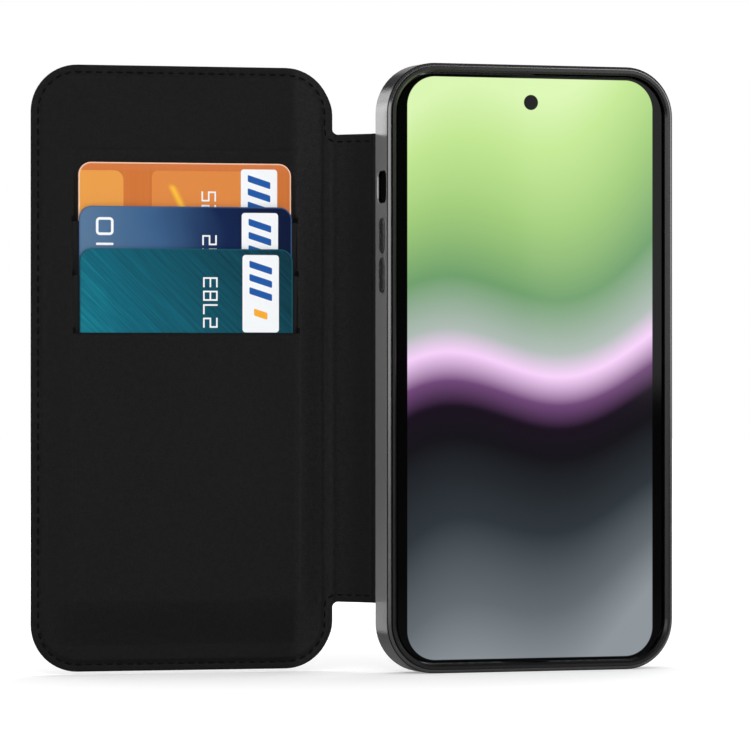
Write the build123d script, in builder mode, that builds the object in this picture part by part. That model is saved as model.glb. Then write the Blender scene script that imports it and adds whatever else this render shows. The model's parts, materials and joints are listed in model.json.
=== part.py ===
from build123d import *
import math
import os

# Phone wallet case: a plated bumper case whose leather tab, spine and cover fold round the phone.
# Frame: X across the case, -Y out of the phone's screen, Z up. The case stands on its bottom edge,
# and the origin is the middle of that edge's face. The cover stands open to the left.

# ---- The phone that the case is made for
phone_width = 71.5
phone_height = 146.7
phone_thickness = 7.8
phone_corner = 10.0
front_glass = 0.6
rear_glass = 0.7
glass_inset = 0.2
glass_bevel = 0.15
port_width = 8.6
port_thickness = 2.9
port_depth = 6.5
island_height = 1.5
island_clearance = 0.9
lens_ring_diameter = 15.8
lens_ring_wall = 1.4
lens_ring_height = 1.6
lens_recess = 0.4
lens_margins = (2.2, 1.8)
flash_diameter = 7.6
flash_margins = (4.8, 6.5)
microphone_diameter = 4.7
microphone_margins = (6.95, 6.25)
detail_height = 0.2
detail_depth = 0.6

# ---- The case: plated frame outside, soft bumper inside, clear plate behind
phone_clearance = 0.3
phone_back_gap = 0.05
bumper_wall = 1.4
frame_wall = 0.8
bond_line = 0.02
plate_thickness = 1.3
plate_edge_bevel = 0.25
lip_height = 1.25
frame_front_setback = 0.45
frame_front_chamfer = 0.65
frame_back_chamfer = 0.6
groove_width = 0.3
groove_depth = 0.6
lip_bevel = 0.55

# ---- Camera window and its raised frame
window_width = 34.4
window_height = 33.6
window_corner = 9.0
window_side_margin = 3.95
window_top_margin = 3.9
sleeve_wall = 0.8
camera_frame_flange = 2.5
camera_frame_height = 2.6
camera_step_height = 1.1
camera_step_width = 0.8
camera_edge_chamfer = 0.4
camera_groove_start = 0.5
camera_groove_width = 0.4
camera_groove_depth = 0.4

# ---- Magnet ring and alignment magnet, sunk in the plate under thin plated trims
ring_radius = 26.5
ring_inner_radius = 21.0
ring_above_middle = 0.55
magnet_count = 18
magnet_gap_degrees = 1.2
magnet_margin = 0.3
magnet_thickness = 0.55
trim_thickness = 0.3
trim_proud = 0.1
pill_length = 21.2
pill_width = 8.0
pill_below_ring = 39.6

# ---- Buttons and openings in the walls
button_width = 3.0
button_y = -0.6
button_proud = 0.4
button_travel = 0.4
button_clearance = 0.1
button_seat_gap = 0.02
button_flange = 0.4
button_flange_margin = 0.35
button_bottom_gap = 0.05
button_pip_width = 1.4
button_pip_inset = 2.0
button_pip_gap = 0.15
volume_length = 8.7
volume_up_drop = 42.9
volume_gap = 1.2
power_length = 16.4
power_drop = 51.8
button_edge_fillet = 0.2
mute_width = 5.4
mute_height = 7.4
mute_drop = 30.8
mute_corner = 1.2
mute_bevel = 0.5
lanyard_hole = 2.5
lanyard_z = 20.75
lanyard_pitch = 3.6
charge_width = 13.0
charge_height = 6.4
speaker_hole = 1.6
speaker_pitch = 2.9
speaker_count = 4
speaker_start = 10.2

# ---- Leather tab, spine and folds
leather = 0.5
spine_end_drop = 17.25
spine_lining_thickness = 0.5
spine_setback = 1.2
spine_stand_off = 0.75
spine_end_setback = 0.4
tab_width = 11.8
tab_waist = 4.7
tab_waist_half = 10.0
tab_curve_half = 24.5
tab_start = 0.65
rest_spine_angle = 130.0
rest_cover_angle = 174.9

# ---- Cover: leather, board and lining, with three stepped card pockets on the lining
cover_end_drop = 0.65
cover_corner = 11.8
cover_setback = 1.2
board_thickness = 0.5
board_inset = 2.9
lining_thickness = 0.25
lining_bevel = 0.2
closed_gap = 0.6

# ---- Cards (ISO ID-1) and their pockets
card_width = 53.98
card_height = 85.6
card_thickness = 0.76
card_corner = 3.18
card_side_clearance = 0.25
card_layer_clearance = 0.02
card_shift = 0.45
card_drops = (24.15, 35.05, 45.55)
slit_drops = (14.7, 17.2, 20.9)
pocket_rim = 1.2
pocket_stop = 1.7
panel_sheets = (0.15, 0.15, 0.2)

# ---- Worked out from the sizes above
wall = phone_clearance + bumper_wall + frame_wall
case_width = phone_width + 2 * wall
case_height = phone_height + 2 * wall
case_thickness = plate_thickness + phone_back_gap + phone_thickness + lip_height
case_corner = phone_corner + wall
case_back = case_thickness / 2
case_front = -case_thickness / 2
plate_front = case_back - plate_thickness
frame_front = case_front + frame_front_setback
phone_back = plate_front - phone_back_gap
phone_front = phone_back - phone_thickness
opening_y = (phone_back + phone_front) / 2
middle = case_height / 2
side = case_width / 2
frame_inner = side - frame_wall
cavity_side = phone_width / 2 + phone_clearance
window_x = side - window_side_margin - window_width / 2
window_z = case_height - window_top_margin - window_height / 2
camera_width = window_width + 2 * camera_frame_flange
camera_height = window_height + 2 * camera_frame_flange
camera_corner = window_corner + camera_frame_flange
volume_up_z = case_height - volume_up_drop
power_z = case_height - power_drop
mute_z = case_height - mute_drop
ring_z = middle + ring_above_middle
pill_z = ring_z - pill_below_ring
trim_depth = magnet_thickness + trim_thickness - trim_proud
spine_height = case_height - 2 * spine_end_drop
spine_thickness = leather + spine_lining_thickness
cover_width = case_width
cover_height = case_height - 2 * cover_end_drop
board_top = leather + board_thickness
lining_top = board_top + lining_thickness
card_layer = card_thickness + 2 * card_layer_clearance
pocket_half = card_width / 2 + card_side_clearance + pocket_rim
layer_starts = [lining_top + k * card_layer + sum(panel_sheets[:k]) for k in range(len(card_drops))]
pocket_top = layer_starts[-1] + card_layer + panel_sheets[-1]
card_from_fold = cover_width / 2 - card_shift
card_tops = [cover_end_drop + cover_height - drop for drop in card_drops]
slit_heights = [top - drop for top, drop in zip(card_tops, slit_drops)]
lowest_card = card_tops[-1] - card_height
pocket_bottom = lowest_card - pocket_stop
# Closed, the front pocket lies in front of the glass: that sets how far the cover's fold is from the back.
spine_length = case_back - phone_front + closed_gap + pocket_top - spine_thickness

rest_fold = rest_cover_angle - rest_spine_angle
os.makedirs("parts", exist_ok=True)


def direction(angle):
    return Vector(math.cos(math.radians(angle)), math.sin(math.radians(angle)), 0)


def outward(angle):
    return Vector(math.sin(math.radians(angle)), -math.cos(math.radians(angle)), 0)


back_fold = Vector(-side, case_back, 0)
spine_along = direction(rest_spine_angle)
spine_out = outward(rest_spine_angle)
front_fold = back_fold + spine_out * spine_stand_off + spine_along * spine_length
cover_along = direction(rest_cover_angle)
cover_out = outward(rest_cover_angle)


def case_plane(y):
    """Sketch plane across the case at y, centred on its height; extrusions run towards the screen."""
    return Plane(origin=(0, y, middle), x_dir=(1, 0, 0), z_dir=(0, -1, 0))


def wall_plane(sign, y, z, x=None):
    """Sketch plane on a side wall, its x axis up the wall; extrusions run away from the phone."""
    return Plane(origin=(sign * (side if x is None else x), y, z), x_dir=(0, 0, 1), z_dir=(sign, 0, 0))


def spine_plane(depth):
    """Sketch plane in the spine, depth below its outer face; extrusions run outward."""
    origin = back_fold + spine_out * (spine_stand_off + spine_thickness - depth)
    return Plane(origin=origin, x_dir=spine_along, z_dir=spine_out)


def cover_plane(depth):
    """Sketch plane in the cover, depth below its outer face; extrusions run outward."""
    origin = front_fold + cover_out * (spine_thickness - depth)
    return Plane(origin=origin, x_dir=cover_along, z_dir=cover_out)


def save(part, name):
    part.label = name
    export_step(part, f"parts/{name}.step")


def rounded(width, height, corner, inset=0.0, mode=Mode.ADD):
    """A rounded rectangle, drawn inset inside its nominal outline."""
    RectangleRounded(width - 2 * inset, height - 2 * inset, corner - inset, mode=mode)


def button_slot(length, width, margin):
    """A button's outline, grown by a margin all round."""
    SlotOverall(length + 2 * margin, width + 2 * margin)


buttons = {
    "volume_up_button": (-1, volume_up_z, volume_length),
    "volume_down_button": (-1, volume_up_z - volume_length - volume_gap, volume_length),
    "power_button": (1, power_z, power_length),
}


# ---- Wall openings, cut alike through the frame and the bumper: mute slide, lanyard, charging, speakers
with BuildPart() as wall_openings:
    with BuildSketch(wall_plane(-1, opening_y, mute_z)):
        RectangleRounded(mute_height, mute_width, mute_corner)
    extrude(amount=-wall)
    with BuildSketch(wall_plane(1, opening_y, lanyard_z)):
        with GridLocations(lanyard_pitch, 0, 2, 1):
            Rectangle(lanyard_hole, lanyard_hole)
    extrude(amount=-wall)
    with BuildSketch(Plane.XY):
        with Locations((0, opening_y)):
            SlotOverall(charge_width, charge_height)
        for sign in (-1, 1):
            for k in range(speaker_count):
                with Locations((sign * (speaker_start + k * speaker_pitch), opening_y)):
                    Circle(speaker_hole / 2)
    extrude(amount=wall)

# ---- Plated frame: the hard outer ring
with BuildPart() as plated_frame:
    with BuildSketch(case_plane(case_back)):
        rounded(case_width, case_height, case_corner)
        rounded(case_width, case_height, case_corner, frame_wall, Mode.SUBTRACT)
    extrude(amount=case_back - frame_front)
    front_face = plated_frame.faces().sort_by(Axis.Y)[0]
    chamfer(front_face.outer_wire().edges(), frame_front_chamfer)
    back_face = plated_frame.faces().sort_by(Axis.Y)[-1]
    chamfer(back_face.outer_wire().edges(), frame_back_chamfer)
    add(wall_openings.part, mode=Mode.SUBTRACT)
    with BuildSketch(wall_plane(-1, opening_y, mute_z)):
        rounded(mute_height, mute_width, mute_corner, -mute_bevel)
    extrude(amount=-mute_bevel, taper=45, mode=Mode.SUBTRACT)
    for sign, button_z, button_length in buttons.values():
        with BuildSketch(wall_plane(sign, button_y, button_z)):
            button_slot(button_length, button_width, button_clearance)
        extrude(amount=-frame_wall, mode=Mode.SUBTRACT)
save(plated_frame.part, "plated_frame")

# ---- Inner bumper: the soft ring that grips the phone, with a raised lip round the screen
with BuildPart() as inner_bumper:
    with BuildSketch(case_plane(plate_front)):
        rounded(case_width, case_height, case_corner, frame_wall + bond_line)
        rounded(phone_width, phone_height, phone_corner, -phone_clearance, Mode.SUBTRACT)
    extrude(amount=plate_front - case_front)
    lip_face = inner_bumper.faces().sort_by(Axis.Y)[0]
    chamfer(lip_face.inner_wires().edges(), lip_bevel)
    with BuildSketch(case_plane(case_front + groove_depth)):
        rounded(case_width, case_height, case_corner, frame_wall)
        rounded(case_width, case_height, case_corner, frame_wall + groove_width, Mode.SUBTRACT)
    extrude(amount=groove_depth, mode=Mode.SUBTRACT)
    add(wall_openings.part, mode=Mode.SUBTRACT)
    for sign, button_z, button_length in buttons.values():
        recess = button_seat_gap + button_flange + button_travel + button_bottom_gap
        with BuildSketch(wall_plane(sign, button_y, button_z, frame_inner)):
            button_slot(button_length, button_width, button_flange_margin + button_clearance)
        extrude(amount=-recess, mode=Mode.SUBTRACT)
        with BuildSketch(wall_plane(sign, button_y, button_z, frame_inner)):
            button_slot(button_length - 2 * button_pip_inset, button_pip_width, button_clearance)
        extrude(amount=-(bumper_wall + phone_clearance), mode=Mode.SUBTRACT)
save(inner_bumper.part, "inner_bumper")

# ---- Buttons: a plated head outside, a flange behind the frame that keeps it in, and a pip to the phone
for button_name, (sign, button_z, button_length) in buttons.items():
    head_length = button_proud + frame_wall + button_seat_gap
    flange_x = frame_inner - button_seat_gap
    pip_x = cavity_side + button_pip_gap
    with BuildPart() as button:
        with BuildSketch(wall_plane(sign, button_y, button_z, flange_x)):
            button_slot(button_length, button_width, 0)
        extrude(amount=head_length)
        head_face = button.faces().sort_by(Axis.X)[-1 if sign > 0 else 0]
        fillet(head_face.edges(), button_edge_fillet)
        with BuildSketch(wall_plane(sign, button_y, button_z, flange_x - button_flange)):
            button_slot(button_length, button_width, button_flange_margin)
        extrude(amount=button_flange)
        with BuildSketch(wall_plane(sign, button_y, button_z, pip_x)):
            button_slot(button_length - 2 * button_pip_inset, button_pip_width, 0)
        extrude(amount=flange_x - button_flange - pip_x)
    save(button.part, button_name)

# ---- Back plate: clear, with the camera window and the seats of both magnets
with BuildPart() as back_plate:
    with BuildSketch(case_plane(case_back)):
        rounded(case_width, case_height, case_corner, frame_wall + bond_line)
        with Locations((window_x, window_z - middle)):
            rounded(window_width, window_height, window_corner, -sleeve_wall - bond_line, Mode.SUBTRACT)
    extrude(amount=plate_thickness)
    outer_face = back_plate.faces().sort_by(Axis.Y)[-1]
    chamfer(outer_face.outer_wire().edges(), plate_edge_bevel)
    with BuildSketch(case_plane(case_back)):
        with Locations((0, ring_z - middle)):
            Circle(ring_radius + bond_line)
            Circle(ring_inner_radius - bond_line, mode=Mode.SUBTRACT)
        with Locations((0, pill_z - middle)):
            SlotOverall(pill_length + 2 * bond_line, pill_width + 2 * bond_line, rotation=90)
    extrude(amount=trim_depth, mode=Mode.SUBTRACT)
save(back_plate.part, "back_plate")

# ---- Camera frame: a stepped plated ring with a sleeve through the plate
with BuildPart() as camera_frame:
    with BuildSketch(case_plane(case_back)):
        with Locations((window_x, window_z - middle)):
            rounded(camera_width, camera_height, camera_corner)
    extrude(amount=-camera_step_height)
    step_face = camera_frame.faces().sort_by(Axis.Y)[-1]
    chamfer(step_face.outer_wire().edges(), camera_edge_chamfer)
    with BuildSketch(case_plane(case_back)):
        with Locations((window_x, window_z - middle)):
            rounded(camera_width, camera_height, camera_corner, camera_step_width)
    extrude(amount=-camera_frame_height)
    top_face = camera_frame.faces().sort_by(Axis.Y)[-1]
    chamfer(top_face.outer_wire().edges(), camera_edge_chamfer)
    with BuildSketch(case_plane(case_back)):
        with Locations((window_x, window_z - middle)):
            rounded(window_width, window_height, window_corner, -sleeve_wall)
    extrude(amount=plate_thickness)
    with BuildSketch(case_plane(plate_front)):
        with Locations((window_x, window_z - middle)):
            rounded(window_width, window_height, window_corner)
    extrude(amount=-(plate_thickness + camera_frame_height), mode=Mode.SUBTRACT)
    with BuildSketch(case_plane(case_back + camera_frame_height)):
        with Locations((window_x, window_z - middle)):
            rounded(window_width, window_height, window_corner, -camera_groove_start - camera_groove_width)
            rounded(window_width, window_height, window_corner, -camera_groove_start, Mode.SUBTRACT)
    extrude(amount=camera_groove_depth, mode=Mode.SUBTRACT)
save(camera_frame.part, "camera_frame")

# ---- Magnet ring: arc magnets on the seat's floor, and the plated trim that covers them
magnet_back = case_back - trim_depth + magnet_thickness
with BuildPart() as magnet_ring:
    with BuildSketch(case_plane(magnet_back)):
        with Locations((0, ring_z - middle)):
            Circle(ring_radius - magnet_margin)
            Circle(ring_inner_radius + magnet_margin, mode=Mode.SUBTRACT)
            gap_width = ring_inner_radius * math.radians(magnet_gap_degrees)
            with PolarLocations((ring_radius + ring_inner_radius) / 2, magnet_count):
                Rectangle(ring_radius, gap_width, mode=Mode.SUBTRACT)
    extrude(amount=magnet_thickness)
save(magnet_ring.part, "magnet_ring")

with BuildPart() as magnet_trim_ring:
    with BuildSketch(case_plane(case_back + trim_proud)):
        with Locations((0, ring_z - middle)):
            Circle(ring_radius)
            Circle(ring_inner_radius, mode=Mode.SUBTRACT)
    extrude(amount=trim_thickness)
save(magnet_trim_ring.part, "magnet_trim_ring")

with BuildPart() as alignment_magnet:
    with BuildSketch(case_plane(magnet_back)):
        with Locations((0, pill_z - middle)):
            SlotOverall(pill_length - 2 * magnet_margin, pill_width - 2 * magnet_margin, rotation=90)
    extrude(amount=magnet_thickness)
save(alignment_magnet.part, "alignment_magnet")

with BuildPart() as alignment_trim:
    with BuildSketch(case_plane(case_back + trim_proud)):
        with Locations((0, pill_z - middle)):
            SlotOverall(pill_length, pill_width, rotation=90)
    extrude(amount=trim_thickness)
save(alignment_trim.part, "alignment_trim")

# ---- Leather tab, bonded to the back: its inner edge bends away from the magnet ring
tab_left = -side + tab_start
tab_right = -side + tab_start + tab_width
waist_right = -side + tab_start + tab_waist
ring_line = ring_z - middle
with BuildPart() as tab_leather:
    with BuildSketch(case_plane(case_back)):
        with BuildLine():
            Polyline(
                (tab_right, ring_line + tab_curve_half),
                (tab_right, spine_height / 2),
                (tab_left, spine_height / 2),
                (tab_left, -spine_height / 2),
                (tab_right, -spine_height / 2),
                (tab_right, ring_line - tab_curve_half),
            )
            Spline(
                (tab_right, ring_line - tab_curve_half),
                (waist_right, ring_line - tab_waist_half),
                tangents=((0, 1), (0, 1)),
            )
            Line((waist_right, ring_line - tab_waist_half), (waist_right, ring_line + tab_waist_half))
            Spline(
                (waist_right, ring_line + tab_waist_half),
                (tab_right, ring_line + tab_curve_half),
                tangents=((0, 1), (0, 1)),
            )
        make_face()
    extrude(amount=-leather)
save(tab_leather.part, "tab_leather")

# ---- Spine: outer leather and inner lining
spine_run = spine_length - spine_setback - spine_end_setback
spine_centre = spine_setback + spine_run / 2
with BuildPart() as spine_leather:
    with BuildSketch(spine_plane(leather)):
        with Locations((spine_centre, middle)):
            Rectangle(spine_run, spine_height)
    extrude(amount=leather)
save(spine_leather.part, "spine_leather")

with BuildPart() as spine_lining:
    with BuildSketch(spine_plane(spine_thickness)):
        with Locations((spine_centre, middle)):
            Rectangle(spine_run, spine_height)
    extrude(amount=spine_lining_thickness)
save(spine_lining.part, "spine_lining")

# ---- Fold leathers: the unbacked strips that bend, from the tab to the spine and on to the cover
spine_skin = back_fold + spine_out * (spine_stand_off + spine_lining_thickness)
with BuildPart() as back_fold_leather:
    with BuildSketch(Plane.XY.offset(spine_end_drop)):
        with BuildLine():
            tab_foot = Vector(tab_left, case_back, 0)
            spine_foot = spine_skin + spine_along * spine_setback
            Polyline(
                tab_foot,
                spine_foot,
                spine_foot + spine_out * leather,
                tab_foot + Vector(0, leather, 0),
                close=True,
            )
        make_face()
    extrude(amount=spine_height)
save(back_fold_leather.part, "back_fold_leather")

with BuildPart() as front_fold_leather:
    with BuildSketch(Plane.XY.offset(spine_end_drop)):
        with BuildLine():
            spine_edge = spine_skin + spine_along * (spine_length - spine_end_setback)
            cover_edge = front_fold + cover_out * spine_lining_thickness + cover_along * cover_setback
            Polyline(
                spine_edge,
                cover_edge,
                cover_edge + cover_out * leather,
                spine_edge + spine_out * leather,
                close=True,
            )
        make_face()
    extrude(amount=spine_height)
save(front_fold_leather.part, "front_fold_leather")


# ---- Cover
def cover_outline(inset=0.0, mode=Mode.ADD):
    with Locations((cover_width / 2, middle)):
        rounded(cover_width, cover_height, cover_corner, inset, mode)


def fold_notch():
    """The strip along the spine that the cover leaves to the fold."""
    with Locations((0, middle)):
        Rectangle(2 * cover_setback, spine_height, mode=Mode.SUBTRACT)


with BuildPart() as cover_leather:
    with BuildSketch(cover_plane(leather)):
        cover_outline()
        fold_notch()
    extrude(amount=leather)
save(cover_leather.part, "cover_leather")

with BuildPart() as cover_board:
    with BuildSketch(cover_plane(board_top)):
        cover_outline(board_inset)
    extrude(amount=board_thickness)
save(cover_board.part, "cover_board")

with BuildPart() as cover_lining:
    with BuildSketch(cover_plane(lining_top)):
        cover_outline(board_inset - lining_thickness)
    extrude(amount=lining_top - leather)
    inner_face = cover_lining.faces().sort_by(Axis(front_fold, -cover_out))[-1]
    chamfer(inner_face.edges(), lining_bevel)
    with BuildSketch(cover_plane(leather + lining_thickness)):
        cover_outline()
        fold_notch()
    extrude(amount=lining_thickness)
    with BuildSketch(cover_plane(board_top)):
        cover_outline(board_inset)
    extrude(amount=board_thickness, mode=Mode.SUBTRACT)
save(cover_lining.part, "cover_lining")

# ---- Card pockets: a rimmed panel in front of each card, stacked on the lining
for number, (card_top, slit, start, sheet) in enumerate(
    zip(card_tops, slit_heights, layer_starts, panel_sheets), start=1
):
    card_bottom = card_top - card_height
    front = start + card_layer
    with BuildPart() as panel:
        with BuildSketch(cover_plane(front + sheet)):
            with Locations((card_from_fold, (slit + pocket_bottom) / 2)):
                Rectangle(2 * pocket_half, slit - pocket_bottom)
        extrude(amount=sheet)
        with BuildSketch(cover_plane(front)):
            with Locations((card_from_fold, (slit + pocket_bottom) / 2)):
                Rectangle(2 * pocket_half, slit - pocket_bottom)
                Rectangle(2 * (pocket_half - pocket_rim), slit - pocket_bottom, mode=Mode.SUBTRACT)
            for stop_top in {card_bottom, lowest_card}:
                with Locations((card_from_fold, stop_top - pocket_stop / 2)):
                    Rectangle(2 * pocket_half, pocket_stop)
        extrude(amount=card_layer)
    save(panel.part, f"pocket_panel_{number}")

for colour, card_top, start in zip(("amber", "navy", "teal"), card_tops, layer_starts):
    with BuildPart() as card:
        with BuildSketch(cover_plane(start + card_layer - card_layer_clearance)):
            with Locations((card_from_fold, card_top - card_height / 2)):
                RectangleRounded(card_width, card_height, card_corner)
        extrude(amount=card_thickness)
    save(card.part, f"{colour}_card")

# ---- Phone dummy
def window_place(diameter, margins, right, up):
    """Centre of a round detail whose rim lies the margins inside two edges of the camera window."""
    across = window_width / 2 - margins[0] - diameter / 2
    height = window_height / 2 - margins[1] - diameter / 2
    return (window_x + right * across, window_z - middle + up * height)


with BuildPart() as phone_body:
    with BuildSketch(case_plane(phone_back - rear_glass)):
        rounded(phone_width, phone_height, phone_corner)
    extrude(amount=phone_thickness - rear_glass - front_glass)
    with BuildSketch(Plane.XY.offset(wall)):
        with Locations((0, opening_y)):
            SlotOverall(port_width, port_thickness)
    extrude(amount=port_depth, mode=Mode.SUBTRACT)
save(phone_body.part, "phone_body")

with BuildPart() as phone_front_glass:
    with BuildSketch(case_plane(phone_front + front_glass)):
        rounded(phone_width, phone_height, phone_corner, glass_inset)
    extrude(amount=front_glass)
    chamfer(phone_front_glass.faces().sort_by(Axis.Y)[0].edges(), glass_bevel)
save(phone_front_glass.part, "phone_front_glass")

with BuildPart() as phone_rear_glass:
    with BuildSketch(case_plane(phone_back)):
        rounded(phone_width, phone_height, phone_corner, glass_inset)
    extrude(amount=rear_glass)
save(phone_rear_glass.part, "phone_rear_glass")

island_top = phone_back + island_height
with BuildPart() as camera_island:
    with BuildSketch(case_plane(phone_back)):
        with Locations((window_x, window_z - middle)):
            rounded(window_width, window_height, window_corner, island_clearance)
    extrude(amount=-island_height)
    chamfer(camera_island.faces().sort_by(Axis.Y)[-1].edges(), camera_edge_chamfer)
    with BuildSketch(case_plane(island_top)):
        with Locations(window_place(flash_diameter, flash_margins, -1, 1)):
            Circle(flash_diameter / 2 + bond_line)
        with Locations(window_place(microphone_diameter, microphone_margins, 1, -1)):
            Circle(microphone_diameter / 2 + bond_line)
    extrude(amount=detail_depth, mode=Mode.SUBTRACT)
save(camera_island.part, "camera_island")

lens_places = [window_place(lens_ring_diameter, lens_margins, corner, corner) for corner in (-1, 1)]
lens_inner = lens_ring_diameter / 2 - lens_ring_wall
with BuildPart() as lens_rings:
    with BuildSketch(case_plane(island_top)):
        with Locations(*lens_places):
            Circle(lens_ring_diameter / 2)
    extrude(amount=-lens_ring_height)
    chamfer(lens_rings.faces().filter_by(Plane.XZ).group_by(Axis.Y)[-1].edges(), camera_edge_chamfer)
    with BuildSketch(case_plane(island_top + lens_ring_height)):
        with Locations(*lens_places):
            Circle(lens_inner)
    extrude(amount=lens_ring_height, mode=Mode.SUBTRACT)
save(lens_rings.part, "lens_rings")

with BuildPart() as lens_glasses:
    with BuildSketch(case_plane(island_top)):
        with Locations(*lens_places):
            Circle(lens_inner - bond_line)
    extrude(amount=-(lens_ring_height - lens_recess))
save(lens_glasses.part, "lens_glasses")

for detail_name, diameter, place in (
    ("flash_lens", flash_diameter, window_place(flash_diameter, flash_margins, -1, 1)),
    ("microphone_mesh", microphone_diameter, window_place(microphone_diameter, microphone_margins, 1, -1)),
):
    with BuildPart() as detail:
        with BuildSketch(case_plane(island_top + detail_height)):
            with Locations(place):
                Circle(diameter / 2)
        extrude(amount=detail_depth + detail_height)
    save(detail.part, detail_name)

print("spine length", round(spine_length, 3), "rest fold", rest_fold)
print("back fold at", back_fold, "front fold at", front_fold)
print("closing angles: spine", 270 - rest_spine_angle, "cover", 90 - rest_fold)
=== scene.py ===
# %% [markdown]
# # A phone wallet case in black leather and dark plating
#
# This file dresses a case whose parts were already made as exact solids. The solids carry the motion:
# they never move here, and each new piece is built round them. The dress is leather with its seams and
# grain, dark chrome, a clear back, turned metal foils, printed cards and a lit screen.
#
# First the frame is loaded. It holds every solid in metres, with X across the case, Z up, and the screen
# facing minus Y. The dressed case has to stay that size.

# %% Load the frame
import bmesh
import bpy
import json
import math
import numpy as np
from mathutils import Matrix, Vector

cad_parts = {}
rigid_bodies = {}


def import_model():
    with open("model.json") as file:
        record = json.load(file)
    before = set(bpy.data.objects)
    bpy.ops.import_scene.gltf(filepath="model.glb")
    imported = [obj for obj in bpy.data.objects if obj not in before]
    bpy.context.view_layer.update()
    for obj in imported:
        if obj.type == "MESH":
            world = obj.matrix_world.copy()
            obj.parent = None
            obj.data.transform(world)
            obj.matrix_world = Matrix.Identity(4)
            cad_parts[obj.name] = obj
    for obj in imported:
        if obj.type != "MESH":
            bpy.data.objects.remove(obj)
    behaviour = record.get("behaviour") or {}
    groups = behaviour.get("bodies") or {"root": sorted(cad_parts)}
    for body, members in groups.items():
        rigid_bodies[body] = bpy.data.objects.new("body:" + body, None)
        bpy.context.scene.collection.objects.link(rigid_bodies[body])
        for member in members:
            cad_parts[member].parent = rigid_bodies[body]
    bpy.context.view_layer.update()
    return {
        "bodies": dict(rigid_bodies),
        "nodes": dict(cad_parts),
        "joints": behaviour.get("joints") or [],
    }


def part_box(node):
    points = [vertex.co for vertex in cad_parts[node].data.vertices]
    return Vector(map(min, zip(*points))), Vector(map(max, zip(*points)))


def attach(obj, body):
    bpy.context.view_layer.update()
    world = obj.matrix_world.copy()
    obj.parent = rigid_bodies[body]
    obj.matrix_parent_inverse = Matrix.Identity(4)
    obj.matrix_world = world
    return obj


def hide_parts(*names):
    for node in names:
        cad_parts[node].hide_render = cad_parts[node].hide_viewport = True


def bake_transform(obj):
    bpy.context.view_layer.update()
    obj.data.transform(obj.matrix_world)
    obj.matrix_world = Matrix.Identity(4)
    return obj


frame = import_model()
MM = 0.001
print("bodies:", ", ".join(sorted(frame["bodies"])))

# %% [markdown]
# ## Sizes
#
# The cover is a flat sheet that is folded twice, and its two folds turn about the hinges of the frame's
# joints. The angles say which way the spine and the cover point, seen from above.

# %% Sizes of the case and of the folded cover, in millimetres
CASE_LOW, CASE_HIGH = (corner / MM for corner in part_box("plated_frame"))
CASE_MIDDLE = (CASE_LOW.z + CASE_HIGH.z) / 2
PLATE_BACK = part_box("back_plate")[1].y / MM
SPINE_LOW, SPINE_HIGH = (corner.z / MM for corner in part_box("spine_leather"))
COVER_LOW, COVER_HIGH = (corner.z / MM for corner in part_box("cover_leather"))
COVER_WIDTH = CASE_HIGH.x - CASE_LOW.x
COVER_CORNER = 11.8
SPINE_ANGLE = math.radians(130.0)
COVER_ANGLE = math.radians(174.9)
SPINE_THICK = 1.0
SPINE_START = 1.2
STAND_OFF = 0.75
joints = {joint["name"]: joint for joint in frame["joints"]}
BACK_FOLD = Vector(joints["spine_fold"]["pos_m"]) / MM
FRONT_FOLD = Vector(joints["cover_fold"]["pos_m"]) / MM
fold_step = FRONT_FOLD - BACK_FOLD
spine_along = Vector((math.cos(SPINE_ANGLE), math.sin(SPINE_ANGLE), 0))
SPINE_LENGTH = fold_step.dot(spine_along)
print("spine", round(SPINE_LENGTH, 2), "mm wide, cover", round(COVER_WIDTH, 1), "mm wide")

# %% [markdown]
# ## Camera
#
# A long lens from far away keeps upright and level edges nearly parallel, which suits a small plain
# object. The camera stands 1.2 m off, level with the middle of the case, a little to the left.

# %% Camera
CAMERA_PLACE = Vector((-438.9, -1123.3, 74.15))
CAMERA_TURN = -19.55
camera_data = bpy.data.cameras.new("camera")
camera_data.lens = 230.5
camera_data.sensor_width = 36.0
camera_data.clip_end = 20.0
camera = bpy.data.objects.new("camera", camera_data)
camera.location = CAMERA_PLACE * MM
camera.rotation_euler = (math.radians(90), 0, math.radians(CAMERA_TURN))
bpy.context.scene.collection.objects.link(camera)
bpy.context.scene.camera = camera
bpy.context.scene.view_settings.view_transform = "Standard"


# %% [markdown]
# ## Writing shader maths as expressions
#
# A material is a graph of nodes, and a long graph is hard to read. The class `Wire` stands for one
# output socket: adding or multiplying wires places the Math node that does it. The class `Graph` places
# any other node in one call, and sets its settings before its sockets. `Finish` is the graph of a new
# material, and the world uses a plain `Graph` of its own.

# %% Wire, Graph and Finish
class Wire:
    """An output socket. Arithmetic on it adds Math nodes."""

    def __init__(self, finish, socket):
        self.finish = finish
        self.socket = socket

    def math(self, operation, *others):
        values = dict(enumerate([self, *others]))
        return self.finish.add("ShaderNodeMath", {"operation": operation}, values)

    def __add__(self, other):
        return self.math("ADD", other)

    def __sub__(self, other):
        return self.math("SUBTRACT", other)

    def __mul__(self, other):
        return self.math("MULTIPLY", other)

    def __truediv__(self, other):
        return self.math("DIVIDE", other)

    def __rsub__(self, other):
        return self.finish.number(other).math("SUBTRACT", self)

    __radd__ = __add__
    __rmul__ = __mul__

    def soft_step(self, low, high):
        """0 below low, 1 above high, smooth between."""
        settings = {"interpolation_type": "SMOOTHSTEP"}
        inputs = {"Value": self, "From Min": low, "From Max": high}
        return self.finish.add("ShaderNodeMapRange", settings, inputs)


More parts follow.
